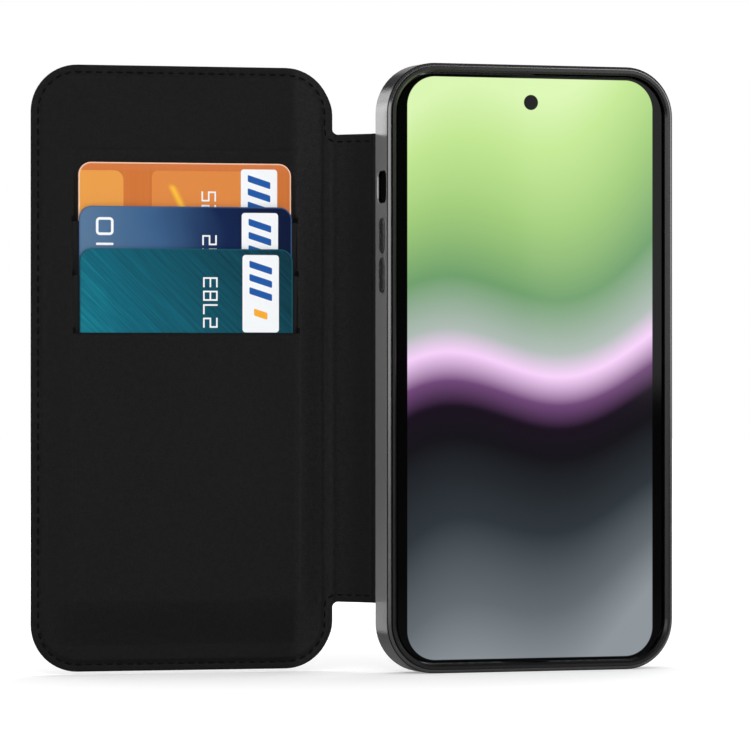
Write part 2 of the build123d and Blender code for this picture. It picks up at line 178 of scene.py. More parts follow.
class Graph:
    """A node tree, with one method that places any node."""

    def __init__(self, tree):
        self.nodes = tree.nodes
        self.links = tree.links

    def plug(self, socket, value):
        if isinstance(value, Wire):
            self.links.new(value.socket, socket)
        elif socket.type == "RGBA":
            socket.default_value = (*value, 1.0) if len(value) == 3 else value
        else:
            socket.default_value = value

    def add(self, kind, settings=None, inputs=None, output=0):
        node = self.nodes.new(kind)
        for name, value in (settings or {}).items():
            setattr(node, name, value)
        for name, value in (inputs or {}).items():
            self.plug(node.inputs[name], value)
        return Wire(self, node.outputs[output])

    def number(self, value):
        wire = self.add("ShaderNodeValue")
        wire.socket.default_value = value
        return wire

    def join(self, x, y, z=0.0):
        return self.add("ShaderNodeCombineXYZ", None, {0: x, 1: y, 2: z})

    def noise(self, place, scale, detail=3.0, rough=0.5):
        inputs = {"Vector": place, "Scale": scale, "Detail": detail, "Roughness": rough}
        return self.add("ShaderNodeTexNoise", None, inputs)

    def blend(self, factor, low, high):
        """Mixes two colours."""
        return self.add("ShaderNodeMix", {"data_type": "RGBA"}, {0: factor, 6: low, 7: high}, output=2)

    def ramp(self, factor, stops):
        """A colour ramp from a list of (place, colour)."""
        wire = self.add("ShaderNodeValToRGB", None, {0: factor})
        elements = wire.socket.node.color_ramp.elements
        for place, _ in stops[2:]:
            elements.new(place)
        for element, (place, colour) in zip(elements, stops):
            element.position = place
            element.color = (*colour, 1.0)
        return wire

    def seen(self):
        """1 for camera, glossy and transmission rays, 0 for the rays that light the object."""
        camera_ray = self.add("ShaderNodeLightPath", output="Is Camera Ray")
        path = camera_ray.socket.node.outputs
        glossy_ray = Wire(self, path["Is Glossy Ray"])
        through_ray = Wire(self, path["Is Transmission Ray"])
        return camera_ray.math("MAXIMUM", glossy_ray).math("MAXIMUM", through_ray), glossy_ray


class Finish(Graph):
    """A new material and its node tree."""

    def __init__(self, name, **sockets):
        self.material = bpy.data.materials.new(name)
        self.material.use_nodes = True
        super().__init__(self.material.node_tree)
        self.surface = self.nodes["Principled BSDF"]
        for socket, value in sockets.items():
            self.set(socket.replace("_", " "), value)

    def set(self, socket, value):
        self.plug(self.surface.inputs[socket], value)

    def axes(self):
        """Object coordinates as three wires, in millimetres."""
        place = self.add("ShaderNodeTexCoord", output="Object")
        parts = self.add("ShaderNodeSeparateXYZ", None, {0: place})
        return [Wire(self, parts.socket.node.outputs[k]) * 1000 for k in range(3)]

    def flat_axes(self):
        """The piece's own sheet coordinates, across and up, in millimetres."""
        place = self.add("ShaderNodeUVMap", {"uv_map": "sheet"})
        parts = self.add("ShaderNodeSeparateXYZ", None, {0: place})
        return [Wire(self, parts.socket.node.outputs[k]) * SHEET_UV for k in range(2)]

    def bump(self, height, depth, strength=1.0):
        """Feeds a height from 0 to 1 to the normal; depth is its size in millimetres."""
        inputs = {"Height": height, "Distance": depth * MM, "Strength": strength}
        self.set("Normal", self.add("ShaderNodeBump", None, inputs))


SHEET_UV = 100.0


def grey(value, tint=(1.0, 1.0, 1.0)):
    """A linear colour from a display grey of 0 to 255."""
    share = value / 255
    linear = share / 12.92 if share <= 0.04045 else ((share + 0.055) / 1.055) ** 2.4
    return tuple(linear * part for part in tint)


def display(red, green, blue):
    """A linear colour from display values of 0 to 255."""
    return tuple(grey(part)[0] for part in (red, green, blue))


def distance(x, y):
    """Length of a flat step, given as two wires."""
    return (x * x + y * y).math("SQRT")


# %% [markdown]
# ## Floor and light
#
# A dark glossy case is shown mostly by what it mirrors. A plain white world would wash it out, so the
# world and the floor are white to the camera but light the object only gently, and gloss sees a studio
# of its own: strips of light round the horizon but none towards the camera, two soft spots behind the
# case, and dimness elsewhere. Three of the lamps are hidden from gloss for the same reason. The floor
# adds a little of its own light to what falls on it, so that it stays white and still shows the shadow
# under the case.

# %% World
LIGHT_LEVEL = 0.55
GLOSS_DIM = 0.06
SPOTS = ((0.02, 0.13, 0.12, 6.0), (-0.42, 0.88, 0.26, 2.5))
world = bpy.data.worlds.new("studio")
world.use_nodes = True
bpy.context.scene.world = world
sky = Graph(world.node_tree)
direction = sky.add("ShaderNodeTexCoord", output="Generated")
toward_x = sky.add("ShaderNodeSeparateXYZ", None, {0: direction})
toward_y, toward_z = (Wire(sky, toward_x.socket.node.outputs[k]) for k in (1, 2))
strips = sky.ramp(
    toward_x.math("ABSOLUTE"),
    [
        (0.10, (0, 0, 0)),
        (0.16, (1, 1, 1)),
        (0.37, (1, 1, 1)),
        (0.43, (0.06, 0.06, 0.06)),
        (0.60, (0.06, 0.06, 0.06)),
        (0.72, (1, 1, 1)),
    ],
)
left_side = toward_x.soft_step(0.05, -0.05)
level_band = toward_z.math("ABSOLUTE").soft_step(0.36, 0.28)
behind = toward_y.soft_step(-0.8, -0.45)
panels = strips * level_band * behind * (left_side * 0.7 + 0.3) + GLOSS_DIM
for place_x, place_z, radius, strength in SPOTS:
    spot = distance(toward_x - place_x, toward_z - place_z).soft_step(radius, radius * 0.5)
    panels = panels + spot * toward_y.soft_step(0.0, 0.08) * strength
seen_ray, glossy_ray = sky.seen()
level = (seen_ray * (1 - LIGHT_LEVEL) + LIGHT_LEVEL) * (1 - glossy_ray * (1 - panels))
background = sky.nodes["Background"]
background.inputs["Color"].default_value = (1, 1, 1, 1)
sky.plug(background.inputs["Strength"], level)

# %% Floor
FLOOR_GREY = 0.8
FLOOR_NEAR_GLOW = 0.3
FLOOR_FAR_GLOW = 0.75
floor_mesh = bpy.data.meshes.new("floor")
shape = bmesh.new()
bmesh.ops.create_grid(shape, x_segments=1, y_segments=1, size=4.0)
shape.to_mesh(floor_mesh)
shape.free()
floor = bpy.data.objects.new("floor", floor_mesh)
bpy.context.scene.collection.objects.link(floor)
floor_finish = Finish("floor", Roughness=0.9, Specular_IOR_Level=0.0, Emission_Color=(1, 1, 1))
x, y, z = floor_finish.axes()
away = distance(x + 40, y).soft_step(120, 600)
seen_ray, glossy_ray = floor_finish.seen()
shown = 1 - glossy_ray * (0.82 + away * 0.12)
floor_finish.set("Base Color", floor_finish.blend(shown, (0, 0, 0), (FLOOR_GREY,) * 3))
glow = away * (FLOOR_FAR_GLOW - FLOOR_NEAR_GLOW) + FLOOR_NEAR_GLOW
floor_finish.set("Emission Strength", seen_ray * glow * shown)
floor_mesh.materials.append(floor_finish.material)


# %% Lamps
def softbox(name, place, target, size, power, mirrored=True):
    """A rectangular lamp at a place in metres, turned towards a target; mirrored if gloss shows it."""
    data = bpy.data.lights.new(name, "AREA")
    data.shape = "RECTANGLE"
    data.size, data.size_y = size
    data.energy = power
    lamp = bpy.data.objects.new(name, data)
    lamp.visible_glossy = mirrored
    lamp.location = place
    lamp.rotation_euler = (Vector(target) - Vector(place)).to_track_quat("-Z", "Y").to_euler()
    bpy.context.scene.collection.objects.link(lamp)


AIM = (-0.04, 0.0, 0.08)
softbox("key", (-0.7, -1.2, 0.9), AIM, (0.8, 0.8), 4.9)
softbox("fill", (0.9, -1.2, 0.5), AIM, (0.9, 0.9), 3.6)
softbox("front", (-0.1, -1.5, 0.25), AIM, (0.5, 0.5), 5.1, mirrored=False)
softbox("top", (0.0, 0.25, 1.3), AIM, (0.9, 0.9), 6.0, mirrored=False)
softbox("back", (0.9, 1.1, 0.7), AIM, (0.8, 0.8), 6.0, mirrored=False)
print("lamps, floor and camera are set")

# %% [markdown]
# ## Leather
#
# The leather is a thin black sheet with a fine pebbled grain. The grain is a Voronoi cell pattern with a
# little noise, used as a bump only some hundredths of a millimetre deep. It reads the sheet's own flat
# coordinates, so it stays in place when a fold bends. Colour and roughness drift slowly, as dye and
# handling make them do. Beside the front fold the lining is painted paler: painted light over the
# pocket's shaded slope there.


# %% Leather, lining and thread
# the band beside the front fold where the leather is painted lighter: painted light
FOLD_LIGHT_START = (-9.0, 0.0)
FOLD_LIGHT_END = (11.0, 8.4)


def leather_finish(name, tone, fold_lit_tone, roughness, grain_size, grain_depth):
    """Black leather of a display tone, with a second tone beside the front fold: painted light."""
    finish = Finish(name, Specular_IOR_Level=0.2)
    across, up = finish.flat_axes()
    place = finish.join(across, up)
    cells = finish.add(
        "ShaderNodeTexVoronoi",
        {"feature": "SMOOTH_F1", "voronoi_dimensions": "2D"},
        {"Vector": place, "Scale": 1 / grain_size, "Smoothness": 0.6},
    )
    fine = finish.noise(place, 4 / grain_size, 2.0)
    drift = finish.noise(place, 0.05, 4.0, 0.6)
    handling = finish.noise(place, 0.35, 3.0)
    mottle = finish.noise(place, 0.8, 3.0, 0.6)
    pebbles = (1 - cells) * 0.8 + fine * 0.25
    uneven = drift * 0.4 + mottle.soft_step(0.3, 0.7) * 0.6
    # painted light: lighter beside the front fold, over the shaded slope of the pocket
    fold_light = across.soft_step(*FOLD_LIGHT_START) * across.soft_step(*FOLD_LIGHT_END)
    dark, light = (
        finish.blend(fold_light, grey(tone * share), grey(fold_lit_tone * share, (1.0, 0.99, 0.98)))
        for share in (0.82, 1.16)
    )
    drift_and_fold_light = finish.blend(uneven, dark, light)
    finish.set("Base Color", finish.blend(pebbles.soft_step(0.75, 0.3) * 0.5, drift_and_fold_light, grey(tone * 0.4)))
    finish.set("Roughness", roughness - 0.05 + 0.1 * handling)
    finish.bump(pebbles, grain_depth, 1.0)
    return finish.material


# the second tone is the painted light beside the fold; on the outer leather it equals the first
outer_leather = leather_finish("outer_leather", 25, 25, 0.55, 0.42, 0.06)
lining_leather = leather_finish("lining_leather", 21.5, 31, 0.66, 0.34, 0.04)


def thread_finish():
    """Twisted black thread: fine diagonal ridges."""
    finish = Finish("thread", Specular_IOR_Level=0.15, Roughness=0.7)
    across, up = finish.flat_axes()
    twist = ((across + up) * 9.0).math("SINE") * 0.5 + 0.5
    finish.set("Base Color", finish.blend(twist, grey(5), grey(13)))
    finish.bump(twist, 0.05, 0.6)
    return finish.material


thread = thread_finish()

# %% [markdown]
# ## Dark plating
#
# The hard ring, the buttons and the camera frame are plastic with a thin dark metal coat. It is modelled
# as metal of a mid grey that is smooth but not quite a mirror. Slow noise in the roughness stands for
# polishing marks and faint smears. On the long flat walls the colour is a painted sheen: paler, palest
# towards the bottom, and a little less metallic, so that they look lit also where they face the dark
# leather. A thin dark line between wall and chamfer is painted shade, and the sides of the slots in the
# wall are painted dark as shade as well.


# %% Plating
# tones of the painted sheen on the flat walls
WALL_SHEEN_TONE = 198
WALL_LOW_SHEEN_TONE = 228
# place of the painted shade line, 0.5 to 0.95 mm behind the front face
EDGE_SHADE_PLACE = (CASE_LOW.y + 0.5, CASE_LOW.y + 0.95)


def plating_finish(name, tone, roughness):
    """Dark chrome of a display tone; masks found by place add a painted sheen on the flat walls, a
    painted shade line and painted shade in the slots.
    """
    finish = Finish(name)
    x, y, z = finish.axes()
    place = finish.join(x, y, z)
    smear = finish.noise(place, 0.09, 4.0, 0.6)
    polish = finish.noise(finish.join(x * 2, y * 2, z * 0.3), 1.0, 2.0)
    flat_wall = y.soft_step(CASE_LOW.y + 0.4, CASE_LOW.y + 0.7)
    flat_wall = flat_wall * y.soft_step(CASE_HIGH.y - 0.4, CASE_HIGH.y - 0.7)
    far_up = (z - CASE_MIDDLE).math("ABSOLUTE")
    far_aside = x.math("ABSOLUTE")
    straight = far_up.soft_step(70, 64) * far_aside.soft_step(CASE_HIGH.x - 0.35, CASE_HIGH.x - 0.15)
    finish.set("Metallic", 0.95 - flat_wall * straight * 0.33)
    metal = finish.blend(smear, grey(tone * 0.94), grey(tone * 1.05, (1.0, 0.995, 0.99)))
    # painted sheen: the flat walls paler, and palest towards the bottom
    painted_sheen = finish.blend(z.soft_step(50, 14), grey(WALL_SHEEN_TONE), grey(WALL_LOW_SHEEN_TONE))
    metal = finish.blend(flat_wall * straight, metal, painted_sheen)
    # painted shade: a dark line round the ring between wall and chamfer
    line_start, line_end = EDGE_SHADE_PLACE
    painted_edge_shade = y.soft_step(line_start - 0.05, line_start) * y.soft_step(line_end + 0.05, line_end)
    metal = finish.blend(painted_edge_shade, metal, grey(tone * 0.35))
    # painted shade on the sides of the slots in the wall
    past_wall = far_aside.soft_step(CASE_HIGH.x - 0.1, CASE_HIGH.x - 0.25)
    slot_shade = flat_wall * far_up.soft_step(66, 64) * past_wall
    finish.set("Base Color", finish.blend(slot_shade, metal, grey(tone * 0.12)))
    finish.set("Roughness", roughness - 0.04 + smear * 0.06 + polish * 0.03)
    return finish.material


plating = plating_finish("plating", 150, 0.16)
camera_plating = plating_finish("camera_plating", 112, 0.14)


# %% [markdown]
# ## Soft bumper and clear back
#
# The soft ring under the plating is black and has a low gloss, so its lip round the screen shows one
# thin highlight. The back plate is clear with a faint smoky tint, so the dark phone shows through it and
# the plate's own face gives the sharp gloss.


# %% Bumper, clear plate, board, magnet steel
def bumper_finish():
    """Soft black plastic with a low sheen."""
    finish = Finish("bumper", Specular_IOR_Level=0.85)
    x, y, z = finish.axes()
    mottle = finish.noise(finish.join(x, y, z), 0.5, 3.0)
    finish.set("Base Color", finish.blend(mottle, grey(9), grey(15)))
    finish.set("Roughness", 0.2 + mottle * 0.08)
    return finish.material


def clear_finish():
    """Clear, faintly smoky plastic; smears change only its roughness."""
    finish = Finish("clear_plate", IOR=1.36, Base_Color=(0.8, 0.82, 0.86), Transmission_Weight=1.0)
    x, y, z = finish.axes()
    smear = finish.noise(finish.join(x, y * 0.2, z), 0.06, 2.0)
    finish.set("Roughness", 0.01 + smear * 0.02)
    return finish.material


def plain_finish(name, tone, roughness, metallic=0.0, spread=0.06, scale=0.4):
    """One tone with a slow mottle, for board, steel and painted metal."""
    finish = Finish(name, Metallic=metallic)
    x, y, z = finish.axes()
    mottle = finish.noise(finish.join(x, y, z), scale, 3.0)
    finish.set("Base Color", finish.blend(mottle, grey(tone * 0.93), grey(tone * 1.06)))
    finish.set("Roughness", roughness + mottle * spread)
    return finish.material


def paint(node, material):
    """Gives a carried-over solid its finish."""
    data = frame["nodes"][node].data
    data.materials.clear()
    data.materials.append(material)


bumper = bumper_finish()
clear_plate = clear_finish()
board = plain_finish("board", 165, 0.85, scale=1.2)
magnet_steel = plain_finish("magnet_steel", 150, 0.35, 1.0)
phone_metal = plain_finish("phone_metal", 62, 0.38, 1.0)
button_metal = plain_finish("button_plating", 84, 0.24, 0.6)
paint("plated_frame", plating)
paint("camera_frame", camera_plating)
for node in ("volume_up_button", "volume_down_button", "power_button"):
    paint(node, button_metal)
paint("inner_bumper", bumper)
paint("back_plate", clear_plate)
paint("cover_board", board)
paint("magnet_ring", magnet_steel)
paint("alignment_magnet", magnet_steel)
paint("phone_body", phone_metal)

# %% [markdown]
# ## The screen
#
# The phone is there to show what the case holds. Its front is one sheet of black glass, and the picture
# is a light that comes through part of it. The picture here is only soft bands of colour that run
# across in a wave, from yellow-green through lilac to slate. A rounded rectangle, written as a
# distance, says where the lit part ends.

# %% Screen and rear glass
SCREEN_HALF = (32.9, 72.5)
SCREEN_CORNER = 7.4
SCREEN_EDGE = 0.08
SELFIE_PLACE = 66.5
SELFIE_RADIUS = 1.9


def box_distance(x, z, half, corner):
    """How far a point is outside a rounded rectangle centred on the origin."""
    over_x = (x.math("ABSOLUTE") - (half[0] - corner)).math("MAXIMUM", 0.0)
    over_z = (z.math("ABSOLUTE") - (half[1] - corner)).math("MAXIMUM", 0.0)
    return distance(over_x, over_z) - corner


def screen_finish():
    """Black glass with a lit picture inside a rounded rectangle."""
    finish = Finish("screen_glass", Base_Color=(0.0006, 0.0006, 0.0008), Specular_IOR_Level=0.2)
    x, y, z = finish.axes()
    height = z - CASE_MIDDLE
    outside = box_distance(x, height, SCREEN_HALF, SCREEN_CORNER)
    lit = outside.soft_step(SCREEN_EDGE, -SCREEN_EDGE)
    far = distance(x, height - SELFIE_PLACE)
    hole = far.soft_step(SELFIE_RADIUS - SCREEN_EDGE, SELFIE_RADIUS + SCREEN_EDGE)
    sway = (height * 0.045 + x * 0.02).math("SINE") * 6.0
    wave = (x * 0.085 + 0.6).math("SINE") * 7.0
    slope = (height - x * 0.3 + sway + wave) * (0.44 / SCREEN_HALF[1]) + 0.56
    picture = finish.ramp(
        slope,
        [
            (0.12, display(142, 149, 155)),
            (0.20, display(98, 106, 112)),
            (0.30, display(46, 53, 59)),
            (0.42, display(20, 19, 24)),
            (0.475, display(26, 17, 30)),
            (0.52, display(112, 72, 120)),
            (0.575, display(248, 210, 251)),
            (0.62, display(176, 188, 182)),
            (0.72, display(112, 160, 108)),
            (0.84, display(164, 206, 124)),
            (0.94, display(196, 232, 148)),
            (1.00, display(220, 246, 180)),
        ],
    )
    facing = y.soft_step(-3.4, -3.6)
    dark = (0.0, 0.0, 0.0)
    finish.set("Emission Color", finish.blend(lit * hole * facing, dark, picture))
    finish.set("Emission Strength", 1.0)
    wipe = finish.noise(finish.join(x * 0.3, z), 0.08, 3.0)
    finish.set("Roughness", 0.03 + wipe * 0.04)
    return finish.material


paint("phone_front_glass", screen_finish())


def rear_glass_finish(name, dark, light):
    """Deep coloured glass that drifts between two colours."""
    finish = Finish(name, Specular_IOR_Level=0.2)
    x, y, z = finish.axes()
    depth = finish.noise(finish.join(x, y, z), 0.02, 2.0)
    finish.set("Base Color", finish.blend(depth, dark, light))
    finish.set("Roughness", 0.12 + depth * 0.05)
    return finish.material


paint("phone_rear_glass", rear_glass_finish("rear_glass", display(36, 40, 48), display(46, 53, 64)))
paint("camera_island", rear_glass_finish("island_glass", display(25, 29, 37), display(31, 36, 45)))

# %% [markdown]
# ## A sheet that folds
#
# The cover and spine are cut from flat leather, so they're modelled flat and then folded. The flat sheet
# has `across` (negative on the spine, positive on the cover, zero on the front fold), `up` (the height)
# and `out` (through the thickness, towards the outside of the closed case). `fold_point` bends the
# sheet about the fold's axis inside a narrow band.

# %% Folding
FOLD_HALF = 1.5
UP = Vector((0, 0, 1))


def smooth(share):
    """Eases a share from 0 to 1."""
    share = min(1.0, max(0.0, share))
    return share * share * (3 - 2 * share)


def fold_point(across, up, out):
    """Place of a point of the flat sheet on the folded cover, in metres."""
    turn = SPINE_ANGLE + (COVER_ANGLE - SPINE_ANGLE) * smooth((across + FOLD_HALF) / (2 * FOLD_HALF))
    along = Vector((math.cos(turn), math.sin(turn), 0))
    outward = Vector((math.sin(turn), -math.cos(turn), 0))
    base = Vector((FRONT_FOLD.x, FRONT_FOLD.y, 0))
    return (base + along * across + outward * out + UP * up) * MM


def add_object(shape, name, material, smooth_angle=35):
    """Turns a finished bmesh into a piece with smooth shading up to an angle."""
    mesh = bpy.data.meshes.new(name)
    shape.to_mesh(mesh)
    shape.free()
    mesh.materials.append(material)
    piece = bpy.data.objects.new(name, mesh)
    bpy.context.scene.collection.objects.link(piece)
    mesh.shade_smooth()
    mesh.set_sharp_from_angle(angle=math.radians(smooth_angle))
    return piece


def flat_spot(vertex):
    """Flat place of a point of a sheet that isn't folded yet."""
    return vertex.co.x, vertex.co.y


def write_sheet_uv(shape, spot=flat_spot):
    """Stores each corner's flat place, so that the grain follows the sheet."""
    layer = shape.loops.layers.uv.new("sheet")
    for face in shape.faces:
        for loop in face.loops:
            across, up = spot(loop.vert)
            loop[layer].uv = (across / SHEET_UV, up / SHEET_UV)


def fold_sheet(shape):
    """Moves a flat bmesh (across, up, out in millimetres) to its folded place in metres."""
    for vertex in shape.verts:
        vertex.co = fold_point(*vertex.co)


def blend_cover(piece):
    """Bakes a piece's placement into its mesh; the ends of the fold band it works out are not used."""
    start = fold_point(-FOLD_HALF, CASE_MIDDLE, 0)
    end = fold_point(FOLD_HALF, CASE_MIDDLE, 0)
    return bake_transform(piece)


# %% [markdown]
# ## Outlines with rounded corners
#
# The cover's outline is a polygon of eight points: a rectangle for the cover and a lower tab for the
# spine. Bevelling its vertices gives the round corners, and the two inner corners by the spine get a
# small round of their own. Planes then slice the face into a grid, close together near the edges where
# seams and creases need points, and wide apart in the middle.

# %% Outline and grid
NOTCH_ROUND = 1.3


def outline_face(shape, points, rounds):
    """A flat face from corner points, each rounded by its own radius."""
    verts = [shape.verts.new((x, y, 0)) for x, y in points]
    shape.faces.new(verts)
    for vertex, radius in zip(verts, rounds):
        if radius:
            segments = 14 if radius > 3 else 6
            bmesh.ops.bevel(
                shape, geom=[vertex], offset=radius, segments=segments, profile=0.5,
                affect="VERTICES", material=-1,
            )
    shape.normal_update()
    return shape.faces[:]


def slice_face(shape, axis, places):
    """Cuts every face by planes across one axis."""
    normal = Vector((0, 0, 0))
    normal[axis] = 1
    for place in places:
        whole = shape.verts[:] + shape.edges[:] + shape.faces[:]
        bmesh.ops.bisect_plane(shape, geom=whole, dist=1e-5, plane_co=normal * place, plane_no=normal)


def steps(low, high, size):
    """Evenly spaced places from low to high, about size apart."""
    count = max(1, round((high - low) / size))
    return [low + (high - low) * k / count for k in range(count + 1)]


def cover_polygon(inset, spine_end):
    """Corner points and radii of the cover and spine, drawn inside their edge by an inset."""
    low, high = COVER_LOW + inset, COVER_HIGH - inset
    spine_low, spine_high = SPINE_LOW + inset, SPINE_HIGH - inset
    right, left = inset, COVER_WIDTH - inset
    corner = COVER_CORNER - inset
    notch = NOTCH_ROUND + inset
    points = [
        (spine_end, spine_low), (right, spine_low), (right, low), (left, low),
        (left, high), (right, high), (right, spine_high), (spine_end, spine_high),
    ]
    return points, [0, notch, corner, corner, corner, corner, notch, 0]


def outline_points(points, rounds):
    """The outline as a closed list of flat points, in order."""
    shape = bmesh.new()
    face = outline_face(shape, points, rounds)[0]
    found = [vertex.co.to_2d() for vertex in face.verts]
    shape.free()
    return found


def edge_distance(spots, outline):
    """Distance of each flat point from a closed outline."""
    spots = np.array(spots)[:, None, :]
    start = np.array([tuple(p) for p in outline])[None]
    step = np.roll(start, -1, axis=1) - start
    share = ((spots - start) * step).sum(2) / (step * step).sum(2)
    nearest = start + step * np.clip(share, 0, 1)[..., None]
    return np.sqrt(((spots - nearest) ** 2).sum(2)).min(1)


# %% [markdown]
# ## Stitches
#
# A row of stitches runs 1.8 mm inside the edge. Each stitch is a small capsule of thread that dips into
# the leather at both ends. The row is measured along an inset outline, so the spacing is even round the
# corners, and the leather is pulled down a little under each one. The ends of the card slits are held by
# small tacks of the same thread.

# %% Stitch rows
STITCH_INSET = 1.8
STITCH_PITCH = 2.6
STITCH_LENGTH = 1.95
THREAD_RADIUS = 0.2
STITCH_DIP = 0.1


def stitch_row(path):
    """Evenly spaced (point, direction) pairs along an open path of flat points."""
    path = [Vector(point) for point in path]
    lengths = [0.0]
    for start, end in zip(path, path[1:]):
        lengths.append(lengths[-1] + (end - start).length)
    count = round(lengths[-1] / STITCH_PITCH)
    spots = []
    for k in range(count):
        target = (k + 0.5) * lengths[-1] / count
        index = max(i for i, done in enumerate(lengths[:-1]) if done <= target)
        step = path[index + 1] - path[index]
        spot = path[index] + step * ((target - lengths[index]) / step.length)
        spots.append((spot, step.normalized()))
    return spots


def add_stitches(shape, row, side):
    """One capsule for each (point, direction, height) of a row, on a surface that faces side."""
    for spot, heading, out in row:
        made = bmesh.ops.create_uvsphere(shape, u_segments=8, v_segments=6, radius=1.0)
        turn = Matrix(((heading.x, -heading.y, 0), (heading.y, heading.x, 0), (0, 0, 1)))
        for vertex in made["verts"]:
            along, sideways, height = vertex.co.z, vertex.co.x, vertex.co.y
            height = height * THREAD_RADIUS - side * STITCH_DIP * along * along
            spot_in_row = Vector((along * STITCH_LENGTH / 2, sideways * THREAD_RADIUS * 1.1, height))
            vertex.co = turn @ spot_in_row + Vector((spot.x, spot.y, out))


SEAM_START = 1.4
inset_outline = outline_points(*cover_polygon(STITCH_INSET, -SPINE_LENGTH + SEAM_START))
seam_order = [(round(point.x, 3), point.y) for point in inset_outline]
seam_start = seam_order.index(min(seam_order))
seam_path = inset_outline[seam_start:] + inset_outline[:seam_start]
if seam_path[1].y - seam_path[0].y > 1:
    seam_path = [seam_path[0], *reversed(seam_path[1:])]
cover_seam = stitch_row(seam_path)
print(len(cover_seam), "stitches round the cover and the spine")

# %% [markdown]
# ## The lining and its card pockets
#
# The lining is one sheet over spine and cover. Its surface is written as a height: a low margin with the
# seam, a step up where the stiff board begins, and a soft swelling over the stacked card pockets. Beside
# the cards the swelling thins out from slit to slit, as the pocket panels end, and runs out above the
# last one. The sheet is open there, so that the cards stand in front of their panels.

# %% Lining heights
BOARD_EDGE = 2.65
CREASE_INSET = 2.45
MARGIN_OUT = 0.25
TRAY_OUT = -0.25
LINE_DEPTH = 0.14
CREASE_DEPTH = 0.12
LINING_ROLL = (0.13, 0.45)
POCKET_BOTTOM = (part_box("pocket_panel_3")[0] / MM).z
SLITS = [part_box(f"pocket_panel_{k}")[1].z / MM for k in (1, 2, 3)]
POCKET_MIDDLE = COVER_WIDTH / 2 - 0.45
POCKET_HALF = 28.44
POCKET_RISE = 2.96
PANEL_RISES = (2.03, 1.08)
POCKET_SLOPE = 6.4
FOOT_SLOPE = 11.0
PRESSED_TOP = 130.0
RECESS_HALF = POCKET_HALF - 0.75


def gentle(share):
    """Nearly straight from 0 to 1, eased a little at both ends."""
    return 0.65 * min(1.0, max(0.0, share)) + 0.35 * smooth(share)


def groove(value, centre, half_width):
    """1 on a line, falling smoothly to 0 at half its width."""
    return 1 - smooth(abs(value - centre) / half_width)


def pocket_level(up):
    """How far the lining beside the cards rises at a height: it thins out as the panels end."""
    if up < SLITS[2]:
        return POCKET_RISE * gentle((up - POCKET_BOTTOM + FOOT_SLOPE) / FOOT_SLOPE)
    heights = [*reversed(SLITS), PRESSED_TOP]
    return float(np.interp(up, heights, [POCKET_RISE, *PANEL_RISES, 0.0]))


def pocket_swell(across, up):
    """How far the lining swells over the pockets, and the pressed line round them."""
    beside = abs(across - POCKET_MIDDLE)
    flank = 1 - gentle((beside - POCKET_HALF) / POCKET_SLOPE)
    if up > SLITS[2] + 0.01:
        flank *= smooth((beside - RECESS_HALF) / (POCKET_HALF - RECESS_HALF))
    line = groove(beside, POCKET_HALF + 0.1, 0.6) * (POCKET_BOTTOM < up < PRESSED_TOP)
    line = max(line, groove(up, PRESSED_TOP, 0.6) * (beside < POCKET_HALF))
    return pocket_level(up) * flank, line


def margin_out(across):
    """Height of the sewn margin: it rises from the spine to the cover inside the fold."""
    return MARGIN_OUT * smooth((across + FOLD_HALF) / (2 * FOLD_HALF))


def lining_out(across, up, edge):
    """Height of the lining's visible face; smaller is nearer to a viewer of the open cover."""
    margin = margin_out(across)
    tray = smooth((edge - BOARD_EDGE + 0.65) / 0.6) * smooth((across - BOARD_EDGE + 0.65) / 0.6)
    out = margin + (TRAY_OUT - margin) * tray
    swell, line = pocket_swell(across, up)
    crease = groove(edge, CREASE_INSET, 0.4) * (across > 0)
    crease = max(crease, groove(across, CREASE_INSET, 0.4) * (SPINE_LOW < up < SPINE_HIGH))
    depth, width = LINING_ROLL
    out -= swell
    out += LINE_DEPTH * line + CREASE_DEPTH * crease
    out += depth * smooth(1 - edge / width)
    return out


# %% [markdown]
# The grid lines are placed where the height changes fast: at the seam, at the board's edge and
# at the pocket's sides. A pull under each stitch is added from the seam's own points. The sheet then
# gets its thickness with Solidify, away from the viewer.

# %% Lining sheet
SHEET_EDGE = 12.5
FINE = 0.42
MEDIUM = 0.9
COARSE = 3.0
SEAM_DEPTH = 0.12
PULL_REACH = STITCH_LENGTH * 0.62
PULL_WIDTH = 0.65
BATCH = 2000


def seam_pull(spots, row, depth):
    """How deep the leather is drawn in at each point by the stitches near it."""
    centres = np.array([tuple(spot) for spot, _ in row])
    headings = np.array([tuple(heading) for _, heading in row])
    pull = np.zeros(len(spots))
    for start in range(0, len(spots), BATCH):
        part = np.array(spots[start:start + BATCH])[:, None, :] - centres[None]
        along = (part * headings[None]).sum(2) / PULL_REACH
        sideways = part[..., 0] * headings[None, :, 1] - part[..., 1] * headings[None, :, 0]
        near = np.clip(1 - along ** 2 - (sideways / PULL_WIDTH) ** 2, 0, 1)
        pull[start:start + BATCH] = near.max(1)
    return pull * depth


def raise_sheet(shape, outline, row, height, pull_side):
    """Stores the flat places, then lifts each point to height(across, up, edge) and to its seam pull."""
    write_sheet_uv(shape)
    spots = [flat_spot(vertex) for vertex in shape.verts]
    edges = edge_distance(spots, outline)
    pulls = seam_pull(spots, row, SEAM_DEPTH)
    for vertex, edge, pull in zip(shape.verts, edges, pulls):
        vertex.co.z = height(vertex.co.x, vertex.co.y, edge) + pull_side * pull


def add_sheet(shape, name, material, thickness):
    """Makes a piece of a finished sheet and gives it thickness on its hidden side."""
    piece = add_object(shape, name, material, 60)
    thick = piece.modifiers.new("thickness", "SOLIDIFY")
    thick.thickness = thickness * MM
    thick.offset = -1
    return piece


